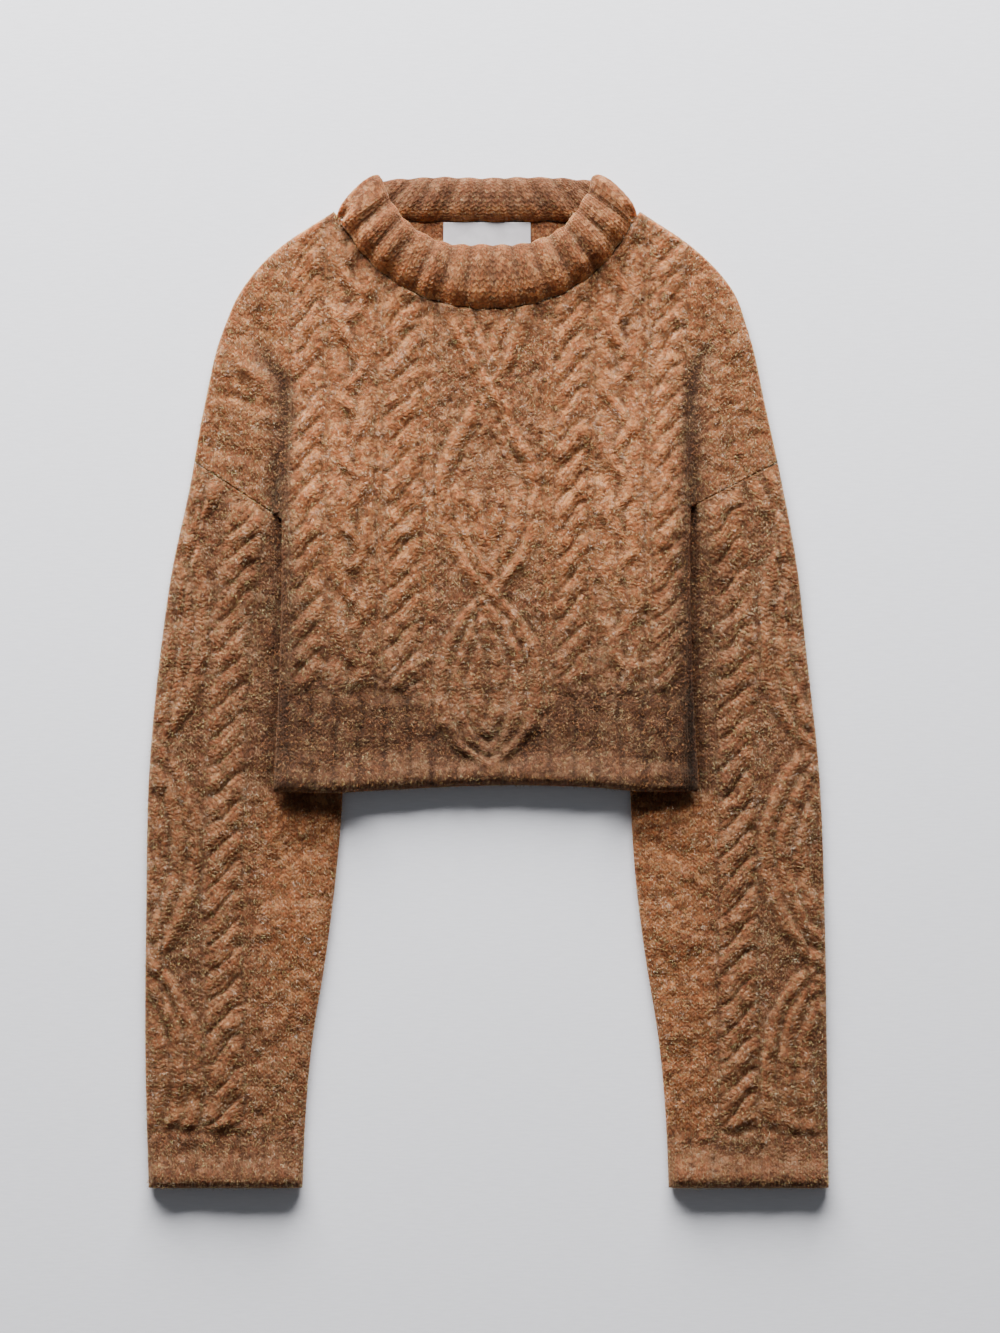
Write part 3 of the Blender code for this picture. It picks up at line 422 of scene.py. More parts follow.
def front_knit(x, y):
    """Height of the front's pattern from 0 to 1, columns and rows of stitches, and openness to light."""
    x, y = wander(x, y, 101)
    above = smooth_step(y, RIB_TOP - 12 * MM, RIB_TOP + 6 * MM)
    parts = [
        (np.abs(x - centre) < width / 2, pattern(x, y, centre, width), above, 0.25)
        for pattern, lines in ((rope, ROPES), (plait, PLAITS))
        for centre, width in zip(lines["centre"], lines["width"])
    ]
    in_middle = np.abs(x - DIAMOND_CENTRE) < DIAMOND_WIDTH / 2
    middle = diamond(x, y, DIAMOND_CENTRE, DIAMOND_WIDTH, FRONT_CROSSINGS, 1)
    parts.append((in_middle, middle, step_mm(y, -66, -58), 0.30))
    height, column, row, open_share = lay_over(x, y, parts)
    in_rib = smooth_step(y, RIB_TOP + 2 * MM, RIB_TOP - 12 * MM) * np.where(in_middle, y < -60 * MM, 1)
    rib = ribs(x)
    open_share = open_share * (1 - in_rib) + 0.85 * rib * in_rib
    moss = 0.6 + 0.3 * np.sin(math.pi * x / COLUMN) * np.sin(math.pi * y / ROW) + 0.5 * lumps(x, y, 5, 9)
    moss = 0.24 * moss * above * step_mm(np.abs(x), 118, 112)
    return np.maximum.reduce([height, moss, 0.6 * rib * in_rib]), column, row, open_share


def sleeve_knit(side, x, y):
    """A sleeve's rope, half diamonds and cuff: height, columns, rows and openness to light."""
    hand = -1 if side == "left" else 1
    x, y = wander(x, y, 111 + hand)
    centre = side_at(SLEEVE_ROPE, side, y)
    above = smooth_step(y, CUFF_TOP, CUFF_TOP + 9 * MM)
    middle = side_at(SILHOUETTE, side, y) - hand * 4 * MM
    start = centre + hand * (SLEEVE_ROPE_WIDTH / 2 + 1 * MM)
    twisted = rope(x, y, centre, SLEEVE_ROPE_WIDTH)
    crossed = diamond(x, y, middle, 2 * np.abs(middle - start), SLEEVE_CROSSINGS, -1)
    height, column, row, open_share = lay_over(x, y, [
        (np.abs(x - centre) < SLEEVE_ROPE_WIDTH / 2, twisted, above, 0.3),
        (hand * (x - start) > 0, crossed, above, 0.3),
    ])
    in_cuff = smooth_step(y, CUFF_TOP, CUFF_TOP - 4 * MM)
    cuff = ribs(x)
    open_share = open_share * (1 - in_cuff) + (0.35 + 0.5 * cuff) * in_cuff
    return np.maximum(height, 0.4 * cuff * in_cuff), column, row, open_share


def cloth_height(x, y, height, column, row, relief, seed):
    """Metres above the plain wall: the pattern, single stitches and the unevenness of soft wool."""
    stitch = stitches_at(column, row) * (0.6 + 0.4 * height)
    uneven = lump_sum(x, y, seed, (0.7, 34), (0.8, 8), (0.4, 4.3))
    return height * relief - GROUND_DIP + stitch * STITCH_RELIEF + uneven * MM


def rounded(distance, radius):
    """0 on an edge and 1 where its round ends, as a quarter circle."""
    return np.sqrt(1 - np.clip(1 - distance / radius, 0, 1) ** 2)


class Plan:
    """Plan outline of a body panel: its points in order, folded sides, neckline and free edge."""

    def __init__(self, neck, step):
        self.folded = []
        left, right = self.side_runs("left", step), self.side_runs("right", step)
        x = np.linspace(HEM["x"][0], HEM["x"][-1], int(HEM_RUN / step))[1:-1]
        hem = np.stack([x, curve_at(x, HEM["x"], HEM["y"])], axis=1)
        neckline = along(neck, int(NECK_RUN / step))[1:-1][::-1]
        self.points = np.concatenate([hem, right, neckline, left[::-1]])
        self.hem, self.neckline = hem[::3], neckline[::3]

    def side_runs(self, side, step):
        """Points from the hem up one side: body side, armhole seam and outer edge."""
        seam = ARMHOLE[side]
        side_y = np.linspace(HEM["y"][0] + 0.5 * MM, seam["y"][1], int(SIDE_RUN / step))
        body = np.stack([side_at(BODY_SIDE, side, side_y), side_y], axis=1)
        outer = np.array([seam["x"][0], seam["y"][0]])
        t = np.linspace(0, 1, int(ARMHOLE_RUN / step))[1:-1, None]
        armhole = body[-1] + (outer - body[-1]) * t
        edge_y = np.linspace(outer[1], SILHOUETTE["y"][0], int(EDGE_RUN / step))
        edge = np.stack([side_at(SILHOUETTE, side, edge_y), edge_y], axis=1)
        self.folded += [body[::3], np.concatenate([edge[::3], edge[-1:]])]
        return np.concatenate([body, armhole, edge])

    def edge_share(self, points, fold_round, cut_round):
        """0 on folded sides and free edges, half on the neckline, 1 elsewhere and at the armholes."""
        fold = np.minimum.reduce([distance_to(points, path) for path in self.folded])
        at_seam = 0.5 + 0.5 * rounded(distance_to(points, self.neckline), 1 * MM)
        return rounded(fold, fold_round) * rounded(distance_to(points, self.hem), cut_round) * at_seam

    def within(self, points):
        """True for the points inside the outline: a line to their left crosses it an odd number of times."""
        loop = np.concatenate([self.points, self.points[:1]])
        x0, y0, x1, y1 = loop[:-1, 0], loop[:-1, 1], loop[1:, 0], loop[1:, 1]
        rise = np.where(y1 == y0, 1, y1 - y0)
        inside = np.empty(len(points), dtype=bool)
        for first in range(0, len(points), BLOCK):
            x, y = points[first:first + BLOCK, 0:1], points[first:first + BLOCK, 1:2]
            hits = ((y0 > y) != (y1 > y)) & (x < (x1 - x0) * (y - y0) / rise + x0)
            inside[first:first + BLOCK] = hits.sum(axis=1) % 2 == 1
        return inside

    def area(self):
        """Area inside the outline, from the cross products of its neighbouring points."""
        x, y = self.points[:, 0], self.points[:, 1]
        return float(0.5 * (x * np.roll(y, -1) - np.roll(x, -1) * y).sum())

    def clear(self, points, margin):
        """The points inside the outline and at least a margin away from it."""
        loop = np.concatenate([self.points[::2], self.points[:1]])
        points = points[self.within(points)]
        return points[distance_to(points, loop) > margin]


def grid(xs, ys):
    """All points of a rectangular grid."""
    return np.stack(np.meshgrid(xs, ys), axis=-1).reshape(-1, 2)


def fill(outline, inner):
    """Triangles over an outline and inner points; the outline's points come first and in order."""
    count = len(outline)
    ring = [(index, (index + 1) % count) for index in range(count)]
    everything = [Vector(point) for point in np.concatenate([outline, inner])]
    points, _, faces, origins, _, _ = delaunay_2d_cdt(everything, ring, [], 1, 1e-8)
    first = {min(olds): new for new, olds in enumerate(origins) if olds}
    order = np.array([first[old] for old in sorted(first)])
    renumbered = np.empty(len(points), dtype=int)
    renumbered[order] = np.arange(len(order))
    return np.array([tuple(p) for p in points])[order], renumbered[np.array([tuple(f) for f in faces])]


def panel_mesh(plan, xs, ys, lower, top_at, low_at):
    """A closed shell: a fine upper surface and a coarse lower one that share the outline."""
    step = min(xs[1] - xs[0], ys[1] - ys[0])
    top, top_faces = fill(plan.points, plan.clear(grid(xs, ys), 0.7 * step))
    low, low_faces = fill(plan.points, plan.clear(lower, 2.5 * MM))
    count, shift = len(plan.points), len(top) - len(plan.points)
    top_z, low_z = top_at(top), low_at(low)
    points = np.concatenate([np.column_stack([top, top_z]), np.column_stack([low, low_z])[count:]])
    low_faces = np.where(low_faces < count, low_faces, low_faces + shift)
    return points, np.concatenate([top_faces, low_faces[:, ::-1]]), len(top)


def add_object(name, data):
    """An object at the origin, in the scene."""
    thing = bpy.data.objects.new(name, data)
    bpy.context.scene.collection.objects.link(thing)
    return thing


def make_mesh(name, points, faces, values, material):
    """An object at the origin whose points carry the named values for its material."""
    mesh = bpy.data.meshes.new(name)
    mesh.from_pydata(points, [], faces.tolist() if isinstance(faces, np.ndarray) else faces)
    for label, numbers in values.items():
        layer = mesh.attributes.new(label, "FLOAT_VECTOR", "POINT")
        layer.data.foreach_set("vector", np.ascontiguousarray(numbers, dtype=np.float32).ravel())
    mesh.materials.append(material)
    mesh.shade_smooth()
    mesh.validate()
    thing = add_object(name, mesh)
    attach(thing, "root")
    return thing


def fuzz(name, points, faces, values, count, settings, seed):
    """Short fibres that stand out of a surface: slim closed spikes of three sides.

    Each root is a random spot of a random face, and each tip lies a fibre's length away along the
    face's normal tilted by a random direction.
    """
    rng = np.random.default_rng(seed)
    a, b, c = (points[faces[:, corner]] for corner in range(3))
    normal = np.cross(b - a, c - a)
    area = np.linalg.norm(normal, axis=1)
    pick = rng.choice(len(faces), count, p=area / area.sum())
    u, v = rng.random((2, count, 1))
    u, v = np.where(u + v > 1, 1 - u, u), np.where(u + v > 1, 1 - v, v)
    root = a[pick] + u * (b - a)[pick] + v * (c - a)[pick]
    normal = normal[pick] / area[pick, None]
    lean = rng.normal(size=(count, 3))
    lean = unit(lean - (lean * normal).sum(1, keepdims=True) * normal)
    way = unit(normal * rng.uniform(*FIBRE_RISE, (count, 1)) + lean)
    length = settings.fibre_length * rng.uniform(*FIBRE_LENGTHS, (count, 1))
    side = unit(np.cross(way, normal))
    other = np.cross(way, side)
    thick = settings.fibre_width / 2
    ring = [
        root - 0.1 * length * way + thick * (math.cos(turn) * side + math.sin(turn) * other)
        for turn in (0, 2 * math.pi / 3, 4 * math.pi / 3)
    ]
    spots = np.stack([*ring, root + length * way], axis=1)
    spots[:, :, 2] = np.maximum(spots[:, :, 2], 0.05 * MM)
    shift = np.arange(count)[:, None] * 4
    sides = np.concatenate([shift + np.array(f) for f in ((0, 1, 3), (1, 2, 3), (2, 0, 3), (0, 2, 1))])
    carried = {label: np.repeat(numbers[faces[pick, 0]], 4, axis=0) for label, numbers in values.items()}
    carried["shade"][:, 1] *= np.repeat(rng.uniform(*FIBRE_TONES, count), 4)
    return make_mesh(name, spots.reshape(-1, 3), sides, carried, bpy.data.materials["fibre"])


def share_values(points, open_share, painted_shading, column, row):
    """What the wool's material reads: openness to light and painted shade, and column and row of a stitch.
    """
    zero = np.zeros(len(points))
    return {
        "shade": np.stack([open_share + zero, painted_shading + zero, zero], axis=1),
        "stitch": np.stack([column + zero, row + zero, zero], axis=1),
    }


def triangles_of(quads):
    """Each quad as two triangles."""
    return np.concatenate([quads[:, [0, 1, 2]], quads[:, [0, 2, 3]]])


def join_loops(first, second, around):
    """Quads between closed loops, given by the number of each loop's first point."""
    first, second = np.atleast_1d(first)[:, None], np.atleast_1d(second)[:, None]
    spot = np.arange(around)
    after = (spot + 1) % around
    corners = [first + spot, first + after, second + after, second + spot]
    return np.stack(corners, axis=-1).reshape(-1, 4)


# --- Body panels ---

def front_painted_shade(x, y):
    """Painted shade on the body's wool: lighter on the chest; darker low down, at the outer shoulders, near
    the sides above the hem, under the collar's edge and in the fold beside the body; darker in the hem's
    rib, partly painted shade and partly the rib's denser knitting.
    """
    aside = np.abs(x - DIAMOND_CENTRE)
    start = RIB_TOP + 14 * MM - 26 * MM * step_mm(aside, 52, 38)
    rib = smooth_step(y, start, start - 20 * MM)
    low = step_mm(y, 150, 10) + 0.55 * step_mm(y, 62, 20)
    shoulder = step_mm(np.abs(x), 140, 155)
    aside = np.abs(x) - body_side(x, y)
    # Painted shade near the sides, where the body lies over the sleeves.
    side = 1 - 0.40 * step_mm(aside, -27, -5) * step_mm(y, 120, 70)
    side = side + (1 - side) * 0.6 * rib
    shoulder = shoulder * (0.11 + 0.12 * step_mm(y, 215, 150))
    near = distance_to(np.stack([x, y], axis=1), np.stack([FRONT_NECK["x"], FRONT_NECK["y"]], axis=1))
    # Painted shadow under the collar's lower edge.
    collar = 0.36 * hill(near, 0, 8 * MM)
    return (1 - 0.24 * low) * (1 - 0.49 * rib) * (1 - shoulder) * (1 - collar) * side * fold_painted_shade(x, y)


def make_front(settings):
    """The front: cables and hem rib in its upper surface, worked out on a grid of part stitches."""
    plan = Plan(FRONT_NECK, 1.4 * MM)
    xs = np.arange(-150, 150) * COLUMN / 3
    ys = np.arange(-66, 280) * 1.2 * MM

    def level(p):
        return lift_at(*p.T) + WALL + LAYER_GAP

    def top_at(p):
        x, y = p.T
        height, column, row, _ = front_knit(x, y)
        cloth = cloth_height(x, y, height, column, row, settings.relief, CLOTH_SEED)
        hem = curve_at(x, HEM["x"], HEM["y"])
        swell = 3 + 4 * step_mm(np.abs(x), 122, 92)
        swell = swell + 2.6 * hill(x, 66 * MM, 34 * MM)
        cloth = cloth + swell * MM * hill(y - hem, END_SWELL, END_WIDTH)
        cloth = np.maximum(cloth - creases(x, y, FRONT_CREASES) + fold_at(x, y), DEEPEST)
        fold_round = EDGE_ROUND - 8 * MM * step_mm(y, 286, 314)
        share = plan.edge_share(p, fold_round, CUT_ROUND)
        return level(p) + RIM_GAP + (WALL + cloth - RIM_GAP) * share

    def low_at(p):
        return level(p) + RIM_GAP * (1 - plan.edge_share(p, 2 * MM, 2 * MM))

    lower = grid(np.arange(-204, 206, 5) * MM, np.arange(-74, 328, 8) * MM)
    points, faces, top_count = panel_mesh(plan, xs, ys, lower, top_at, low_at)
    x, y, _ = points.T
    _, column, row, open_share = front_knit(x, y)
    values = share_values(points, open_share, front_painted_shade(x, y), column, row)
    front = make_mesh("front_knit", points, faces, values, wool(settings))
    shown = faces[(faces < top_count).all(axis=1)]
    hair = fuzz("front_fuzz", points, shown, values, settings.fibres, settings, 21)
    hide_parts("front")
    plan.area()


def make_back(settings):
    """The back: plain knitting that lies on the surface and rises over the sleeves at its sides."""
    plan = Plan(BACK_NECK, 3.0 * MM)
    xs, ys = np.arange(-70, 70) * 3.0 * MM, np.arange(-27, 112) * 3.0 * MM

    def low_at(p):
        x, y = p.T
        level = lift_at(x, y)
        soft = 0.5 * MM * (1 + lumps(x, y, 11, 31)) + creases(x, y, BACK_CREASES)
        rim = level + WALL + SEAM_GAP
        return rim + (level + soft - rim) * plan.edge_share(p, EDGE_ROUND, CUT_ROUND)

    def top_at(p):
        level = lift_at(*p.T) + WALL
        return level + SEAM_GAP * (1 - plan.edge_share(p, 2 * MM, 2 * MM))

    points, faces, _ = panel_mesh(plan, xs, ys, grid(xs, ys), top_at, low_at)
    column, row = points[:, 0] / COLUMN, points[:, 1] / ROW
    # Painted shade: the back's wool is darkened throughout to 0.7.
    values = share_values(points, PLAIN_OPEN, 0.7, column, row)
    back = make_mesh("back_knit", points, faces, values, wool(settings))
    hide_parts("back")
    plan.area()


# --- Sleeves ---

def armhole_at(side, x):
    """Height of the sleeve's upper end, a seam's gap below the body's armhole edge."""
    seam = ARMHOLE[side]
    distance = np.abs(x)
    knots = np.abs(seam["x"])
    corner, underarm = knots[1] + 3 * MM, knots[2]
    line = np.interp(distance, [corner, knots[0]], [seam["y"][1] + 2 * MM, seam["y"][0]])
    hidden = np.interp(distance, [underarm, corner - 5 * MM], [seam["y"][2], seam["y"][1] - 3 * MM])
    drop = smooth_step(distance, corner - 5 * MM, corner)
    return hidden * (1 - drop) + line * drop - 0.5 * SEAM_GAP


def sleeve_rows(base_y, side, x):
    """Rows that are level at the cuff and turn to follow the armhole at the upper end."""
    reach = armhole_at(side, x) - SLEEVE_TOP
    return base_y + reach * smooth_step(base_y, -70 * MM, SLEEVE_TOP)


def sleeve_grid(side, base, share, inset):
    """X and Y of points that lie a share of the way across a sleeve, inset from both its edges."""
    hand = -1 if side == "left" else 1
    y = np.repeat(base[:, None], len(share), axis=1)
    for _ in range(6):
        inner = np.abs(side_at(SLEEVE_INNER, side, y)) + inset
        outer = np.abs(side_at(SILHOUETTE, side, y)) - inset
        x = hand * (inner + (outer - inner) * share)
        y = sleeve_rows(base[:, None], side, x)
    return x, y


def sleeve_painted_shade(side, x, y):
    """Painted shade on a sleeve's wool: darker than the body, darker still at the cuff and in the valley
    beside the body; its inner, plain part and its upper end are lighter.
    """
    inner = step_mm(np.abs(x), 163, 150) * step_mm(y, -60, -90)
    if side == "left":
        inner = inner * step_mm(y, -290, -180)
    upper = step_mm(y, 60, 110)
    cuff = smooth_step(y, CUFF_TOP + 10 * MM, CUFF_TOP - 6 * MM)
    # Painted shade in the valley beside the body.
    aside = np.abs(x) - body_side(x, y)
    beside = (0.58 + 0.20 * upper) * hill(aside, 0, 22 * MM - 13 * MM * upper)
    beside = beside * step_mm(y, -88, -70)
    return (0.68 + 0.22 * inner + 0.08 * upper) * (1 - 0.30 * cuff) * (1 - beside)


def make_sleeve(side, settings):
    """A sleeve: a flat tube, open at the armhole and at the cuff, with a cabled upper wall.

    Its section runs over the top from the inner to the outer edge, round a quarter circle to the
    flat underside and back; the inside is the same loop drawn in by the wall's thickness.
    """
    hand = -1 if side == "left" else 1
    base = np.linspace(CUFF_END, SLEEVE_TOP, SLEEVE_ROWS)
    top_share = np.linspace(0, 1, SLEEVE_ACROSS)
    x_top, y_top = sleeve_grid(side, base, top_share, 0)
    x, y = x_top.ravel(), y_top.ravel()
    inner = np.abs(side_at(SLEEVE_INNER, side, y))
    outer = np.abs(side_at(SILHOUETTE, side, y))
    edge = np.minimum(np.abs(x) - inner, outer - np.abs(x))
    height, column, row, open_share = sleeve_knit(side, x, y)
    to_armhole = np.clip(armhole_at(side, x) - y, 0, None)
    relief = settings.relief * step_mm(to_armhole, 0, 14)
    cloth = cloth_height(x, y, height, column, row, relief, CLOTH_SEED)
    cloth = cloth - creases(x, y, SLEEVE_CREASES[side])
    aside = np.abs(x) - body_side(x, y)
    upper = step_mm(y, 60, 106)
    valley = hill(aside, 0, 6 * MM) * step_mm(y, -86, -72) * (1 - upper)
    cloth = cloth + 7.5 * MM * hill(y - CUFF_END, END_SWELL, END_WIDTH)
    cloth = np.maximum(cloth - 2.4 * MM * valley + fold_at(x, y) * upper, DEEPEST)
    middle = SLEEVE_HEIGHT / 2
    z_top = middle + (SLEEVE_HEIGHT + cloth - middle) * rounded(edge, EDGE_ROUND)
    wall_end = rounded(y - CUFF_END, CUT_ROUND) * 0.65 + 0.35
    inside_top = WALL + LAYER_GAP
    z_top = np.where(z_top > inside_top, inside_top + (z_top - inside_top) * wall_end, z_top)
    values = [open_share, column, row]

    turn = np.array([1, 2, 3]) * math.pi / 6
    under = np.linspace(1, 0, UNDER_ACROSS)[1:-1]
    low_share = np.concatenate([np.ones(3), under, np.zeros(3)])
    low_inset, low_z = (
        middle * np.concatenate([1 - part(turn), np.full(len(under), flat), 1 - part(turn[::-1])])
        for part, flat in ((np.cos, 1.0), (np.sin, 0.0))
    )
    x_low, y_low = sleeve_grid(side, base, low_share, low_inset)
    below = x_low.ravel(), y_low.ravel()
    soft = creases(*below, UNDER_CREASES[side]) + 0.3 * MM * (1 + lumps(*below, 12, 47 + hand))
    z_low = low_z + soft.reshape(x_low.shape) * (low_z < 0.2 * MM)
    outside = np.stack([
        np.concatenate([x_top, x_low], axis=1),
        np.concatenate([y_top, y_low], axis=1),
        np.concatenate([z_top.reshape(x_top.shape), z_low], axis=1),
    ], axis=2)

    pick = np.linspace(0, len(base) - 1, INSIDE_ROWS).astype(int)
    share = np.concatenate([top_share, low_share])
    x_in, y_in = sleeve_grid(side, base[pick], share, WALL)
    bow = np.minimum(np.minimum(share, 1 - share) / 0.03, 1) * LAYER_GAP / 2
    z_in = middle + bow * np.where(np.arange(len(share)) < len(top_share), 1, -1)
    inside = np.stack([x_in, y_in, np.broadcast_to(z_in, x_in.shape)], axis=2)

    rows, around = outside.shape[:2]
    outer, inner = np.arange(rows) * around, (rows + np.arange(len(pick))) * around
    outer_faces = join_loops(outer[:-1], outer[1:], around)
    inner_faces = join_loops(inner[:-1], inner[1:], around)[:, ::-1]
    cuff = join_loops(inner[0], outer[0], around)
    armhole = join_loops(outer[-1], inner[-1], around)
    faces = np.concatenate([outer_faces, inner_faces, cuff, armhole])
    if hand < 0:
        faces = faces[:, ::-1]
    points = np.concatenate([outside.reshape(-1, 3), inside.reshape(-1, 3)])
    all_values = [np.full(len(points), PLAIN_OPEN), points[:, 0] / COLUMN, points[:, 1] / ROW]
    fine = (np.arange(rows)[:, None] * around + np.arange(len(top_share))).ravel()
    for whole, part in zip(all_values, values):
        whole[fine] = part
    painted_shading = sleeve_painted_shade(side, points[:, 0], points[:, 1])
    carried = share_values(points, all_values[0], painted_shading, all_values[1], all_values[2])
    name = "sleeve_" + side
    sleeve = make_mesh(name + "_knit", points, faces, carried, wool(settings))
    shown = outer_faces[(outer_faces % around < len(top_share) + 2).all(axis=1)]
    shown = triangles_of(shown if hand > 0 else shown[:, ::-1])
    hair = fuzz(name + "_fuzz", points, shown, carried, settings.fibres // 2, settings, 60 + hand)
    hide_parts(name)
    width = 2 * np.abs(x_top[:, -1] - x_top[:, 0])
    area = float((width * np.gradient(y_top[:, SLEEVE_ACROSS // 2 + 1])).sum())


# --- Neckband ---

def band_turn(hand, rising):
    """Stations where the loop turns over at one shoulder, rising from the back half or falling to it."""
    low, high = np.stack([BAND_SIDE["x"] * hand, BAND_SIDE["y"]], axis=1)
    along_fold = (high - low) / np.linalg.norm(high - low)
    outward = hand * np.array([along_fold[1], -along_fold[0]])
    low = low - outward * (BAND_THICK + LAYER_GAP / 2) + along_fold * SEAM_GAP
    high = high - outward * (BAND_THICK + LAYER_GAP / 2)
    radius = (BAND_THICK + LAYER_GAP) / 2
    angles = math.pi * (np.arange(BAND_TURN_STEPS) + 0.5) / BAND_TURN_STEPS
    if rising:
        angles = angles[::-1]
    normals = np.column_stack([np.outer(np.sin(angles), outward), np.cos(angles)])
    shift = normals[:, :2] * radius
    centre_height = BAND_THICK + LAYER_GAP / 2
    return low + shift, high + shift, normals, centre_height + radius * np.cos(angles)


def band_half(seam, fold, count, upward, height):
    """Stations along one half of the band, level or resting on what lies below it."""
    seam_points = along(seam, count + 4)[2:-2]
    fold_points = along(fold, count + 2)[1:-1]
    normals = np.tile([0.0, 0.0, upward], (count, 1))
    return seam_points, fold_points, normals, np.broadcast_to(height, count)


def band_stations():
    """Seam point, folded-edge point, outward direction and height at each station round the band.

    The front half runs from left to right with its outside up, the loop turns over at the right
    shoulder, the back half returns with its outside down, and the loop turns over at the left.
    """
    steps = BAND_RIBS * BAND_RIB_STEPS
    front_count = steps * 35 // 64
    back_count = steps - front_count - 2 * BAND_TURN_STEPS
    aside = np.abs(np.linspace(-1, 1, front_count))
    on_back_half = BAND_THICK + LAYER_GAP
    under = BAND_FRONT_UNDER + (on_back_half - BAND_FRONT_UNDER) * smooth_step(aside, 0.45, 0.80)
    front = band_half(FRONT_NECK, BAND_FRONT_FOLD, front_count, 1.0, under + BAND_THICK / 2)
    back = band_half(BACK_NECK, BAND_BACK_FOLD, back_count, -1.0, BAND_THICK / 2)
    returning = [part[::-1] for part in back]
    parts = zip(front, band_turn(1, False), returning, band_turn(-1, True))
    seam, fold, normals, heights = [np.concatenate(part) for part in parts]
    return np.column_stack([seam, fold, normals, heights])


def refine(values, times):
    """Points between the stations of a closed loop, on a cubic through each four neighbours."""
    a, b, c, d = (np.roll(values, shift, axis=0)[:, None, :] for shift in (1, 0, -1, -2))
    t = (np.arange(times) / times)[None, :, None]
    curve = 2 * b + (c - a) * t + (2 * a - 5 * b + 4 * c - d) * t**2 + (3 * b - a - 3 * c + d) * t**3
    return (curve / 2).reshape(-1, values.shape[1])


def make_neckband(settings):
    """The neckband: one loop of doubled rib, flattened.

    Its section is a flattened oval between the seam and the fold, powers of cosine and sine of one
    angle, and each rib swells the oval as a fuller half circle between two narrow gaps.
    """
    times, around = BAND_FINER, BAND_AROUND
    stations = refine(band_stations(), times)
    count = len(stations)
    seam, fold, normal, level = stations[:, 0:2], stations[:, 2:4], unit(stations[:, 4:7]), stations[:, 7]
    angle = 2 * math.pi * (np.arange(around) + 0.5) / around
    cosine, sine = np.cos(angle), np.sin(angle)
    reach = 0.5 - 0.5 * np.sign(cosine) * np.abs(cosine) ** 0.92
    swell = np.sign(sine) * np.abs(sine) ** np.where(cosine > 0, 1.7, 1.0)
    round_loop, turn = np.arange(count)[:, None] * 1.1 * MM, angle[None, :] * 9 * MM
    rib = (np.arange(count) / times - 0.5) / BAND_RIB_STEPS
    rib = rib + 0.07 * lumps(round_loop[:, 0], 0 * round_loop[:, 0], 31, 69)
    away = np.abs(rib - np.round(rib)) * 2
    turned = smooth_step(normal[:, 2], 0.98, 0.5) * smooth_step(-normal[:, 2], 0.98, 0.5)
    bulge = (0.5 + 0.5 * np.cos(math.pi * away)) ** 0.7 * (1 - 0.5 * turned) + 0.5 * turned
    bulge = bulge[:, None] + 0.10 * lumps(round_loop, turn, 13, 70)
    column = rib[:, None] * 4 + 0 * turn
    row = np.broadcast_to(np.abs(angle - math.pi)[None, :] * 17 * MM / ROW, column.shape)
    uneven = lump_sum(round_loop, turn, 71, (0.6, 21), (0.45, 7), (0.3, 3))
    uneven = uneven + 0.3 * stitches_at(column, row)
    front_half = smooth_step(normal[:, 2], -0.2, 0.6)
    aside = step_mm(np.abs(seam[:, 0]), 45, 75)
    front_full = front_half * (0.75 - 0.3 * step_mm(np.abs(seam[:, 0]), 62, 98))
    fuller = np.where(sine > 0, front_full[:, None], 0.5 * ((1 - front_half) * (1 - aside))[:, None])
    depth = BAND_THICK / 2 * (0.70 + 0.34 * bulge) * swell * (1 + fuller) + uneven * MM * np.abs(swell)
    stretch = reach[None, :] + 0.03 * (bulge - 0.6) * (2 * reach[None, :] - 1)
    stretch = stretch - 0.07 * turned[:, None] * (1 - reach[None, :])
    plan = seam[:, None, :] + (fold - seam)[:, None, :] * stretch[:, :, None]
    drop = (1.5 + 4.5 * step_mm(np.abs(seam[:, 0]), 55, 85)) * MM * front_half
    height = level[:, None] - drop[:, None] * smooth_step(cosine, 0.4, 1)[None, :]
    middle = np.concatenate([plan, height[:, :, None]], axis=2)
    points = middle + normal[:, None, :] * depth[:, :, None]
    points[:, :, 2] = np.maximum(points[:, :, 2], 0.1 * MM)
    points = points.reshape(-1, 3)
    first = np.arange(count) * around
    faces = join_loops(first, np.roll(first, -1), around)
    open_share = (0.25 + 0.75 * bulge) * (0.7 + 0.3 * np.abs(swell))[None, :]
    # Painted shade and light: the band's back half is darker than its front half, and the seam side of each
    # section is lighter where its slope faces away from the light.
    painted_shading = (0.52 + 0.24 * front_half)[:, None] * (1 + 1.5 * smooth_step(cosine, 0.1, 0.85))[None, :]
    values = share_values(points, open_share.ravel(), painted_shading.ravel(), column.ravel(), row.ravel())
    band = make_mesh("neckband_rib", points, faces, values, wool(settings))
    hair = fuzz("neckband_fuzz", points, triangles_of(faces), values, settings.fibres // 3, settings, 81)
    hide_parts("neckband")


# --- Label ---

def make_label(settings):
    """The label: a bare woven strip, a grid with slow waves, given its thickness by Solidify."""
    across = np.linspace(LABEL_LEFT, LABEL_RIGHT, LABEL_ACROSS)
    x, y = np.meshgrid(across, np.linspace(LABEL_LOW, LABEL_TOP, LABEL_UP))
    waves = 0.35 * MM * (1 + lumps(x, y, 16, 91)) * step_mm(y, 320, 306)
    z = WALL + SEAM_GAP + LABEL_THICK + waves
    points = np.stack([x, y, z], axis=-1).reshape(-1, 3)
    rows, columns = x.shape
    row, column = np.meshgrid(np.arange(rows - 1), np.arange(columns - 1), indexing="ij")
    corner = (row * columns + column).ravel()
    faces = np.stack([corner, corner + 1, corner + columns + 1, corner + columns], axis=1)
    label = make_mesh("label_satin", points, faces, {}, satin(settings))
    wall = label.modifiers.new("wall", "SOLIDIFY")
    wall.thickness = LABEL_THICK
    wall.offset = -1
    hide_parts("label")


# --- Materials ---

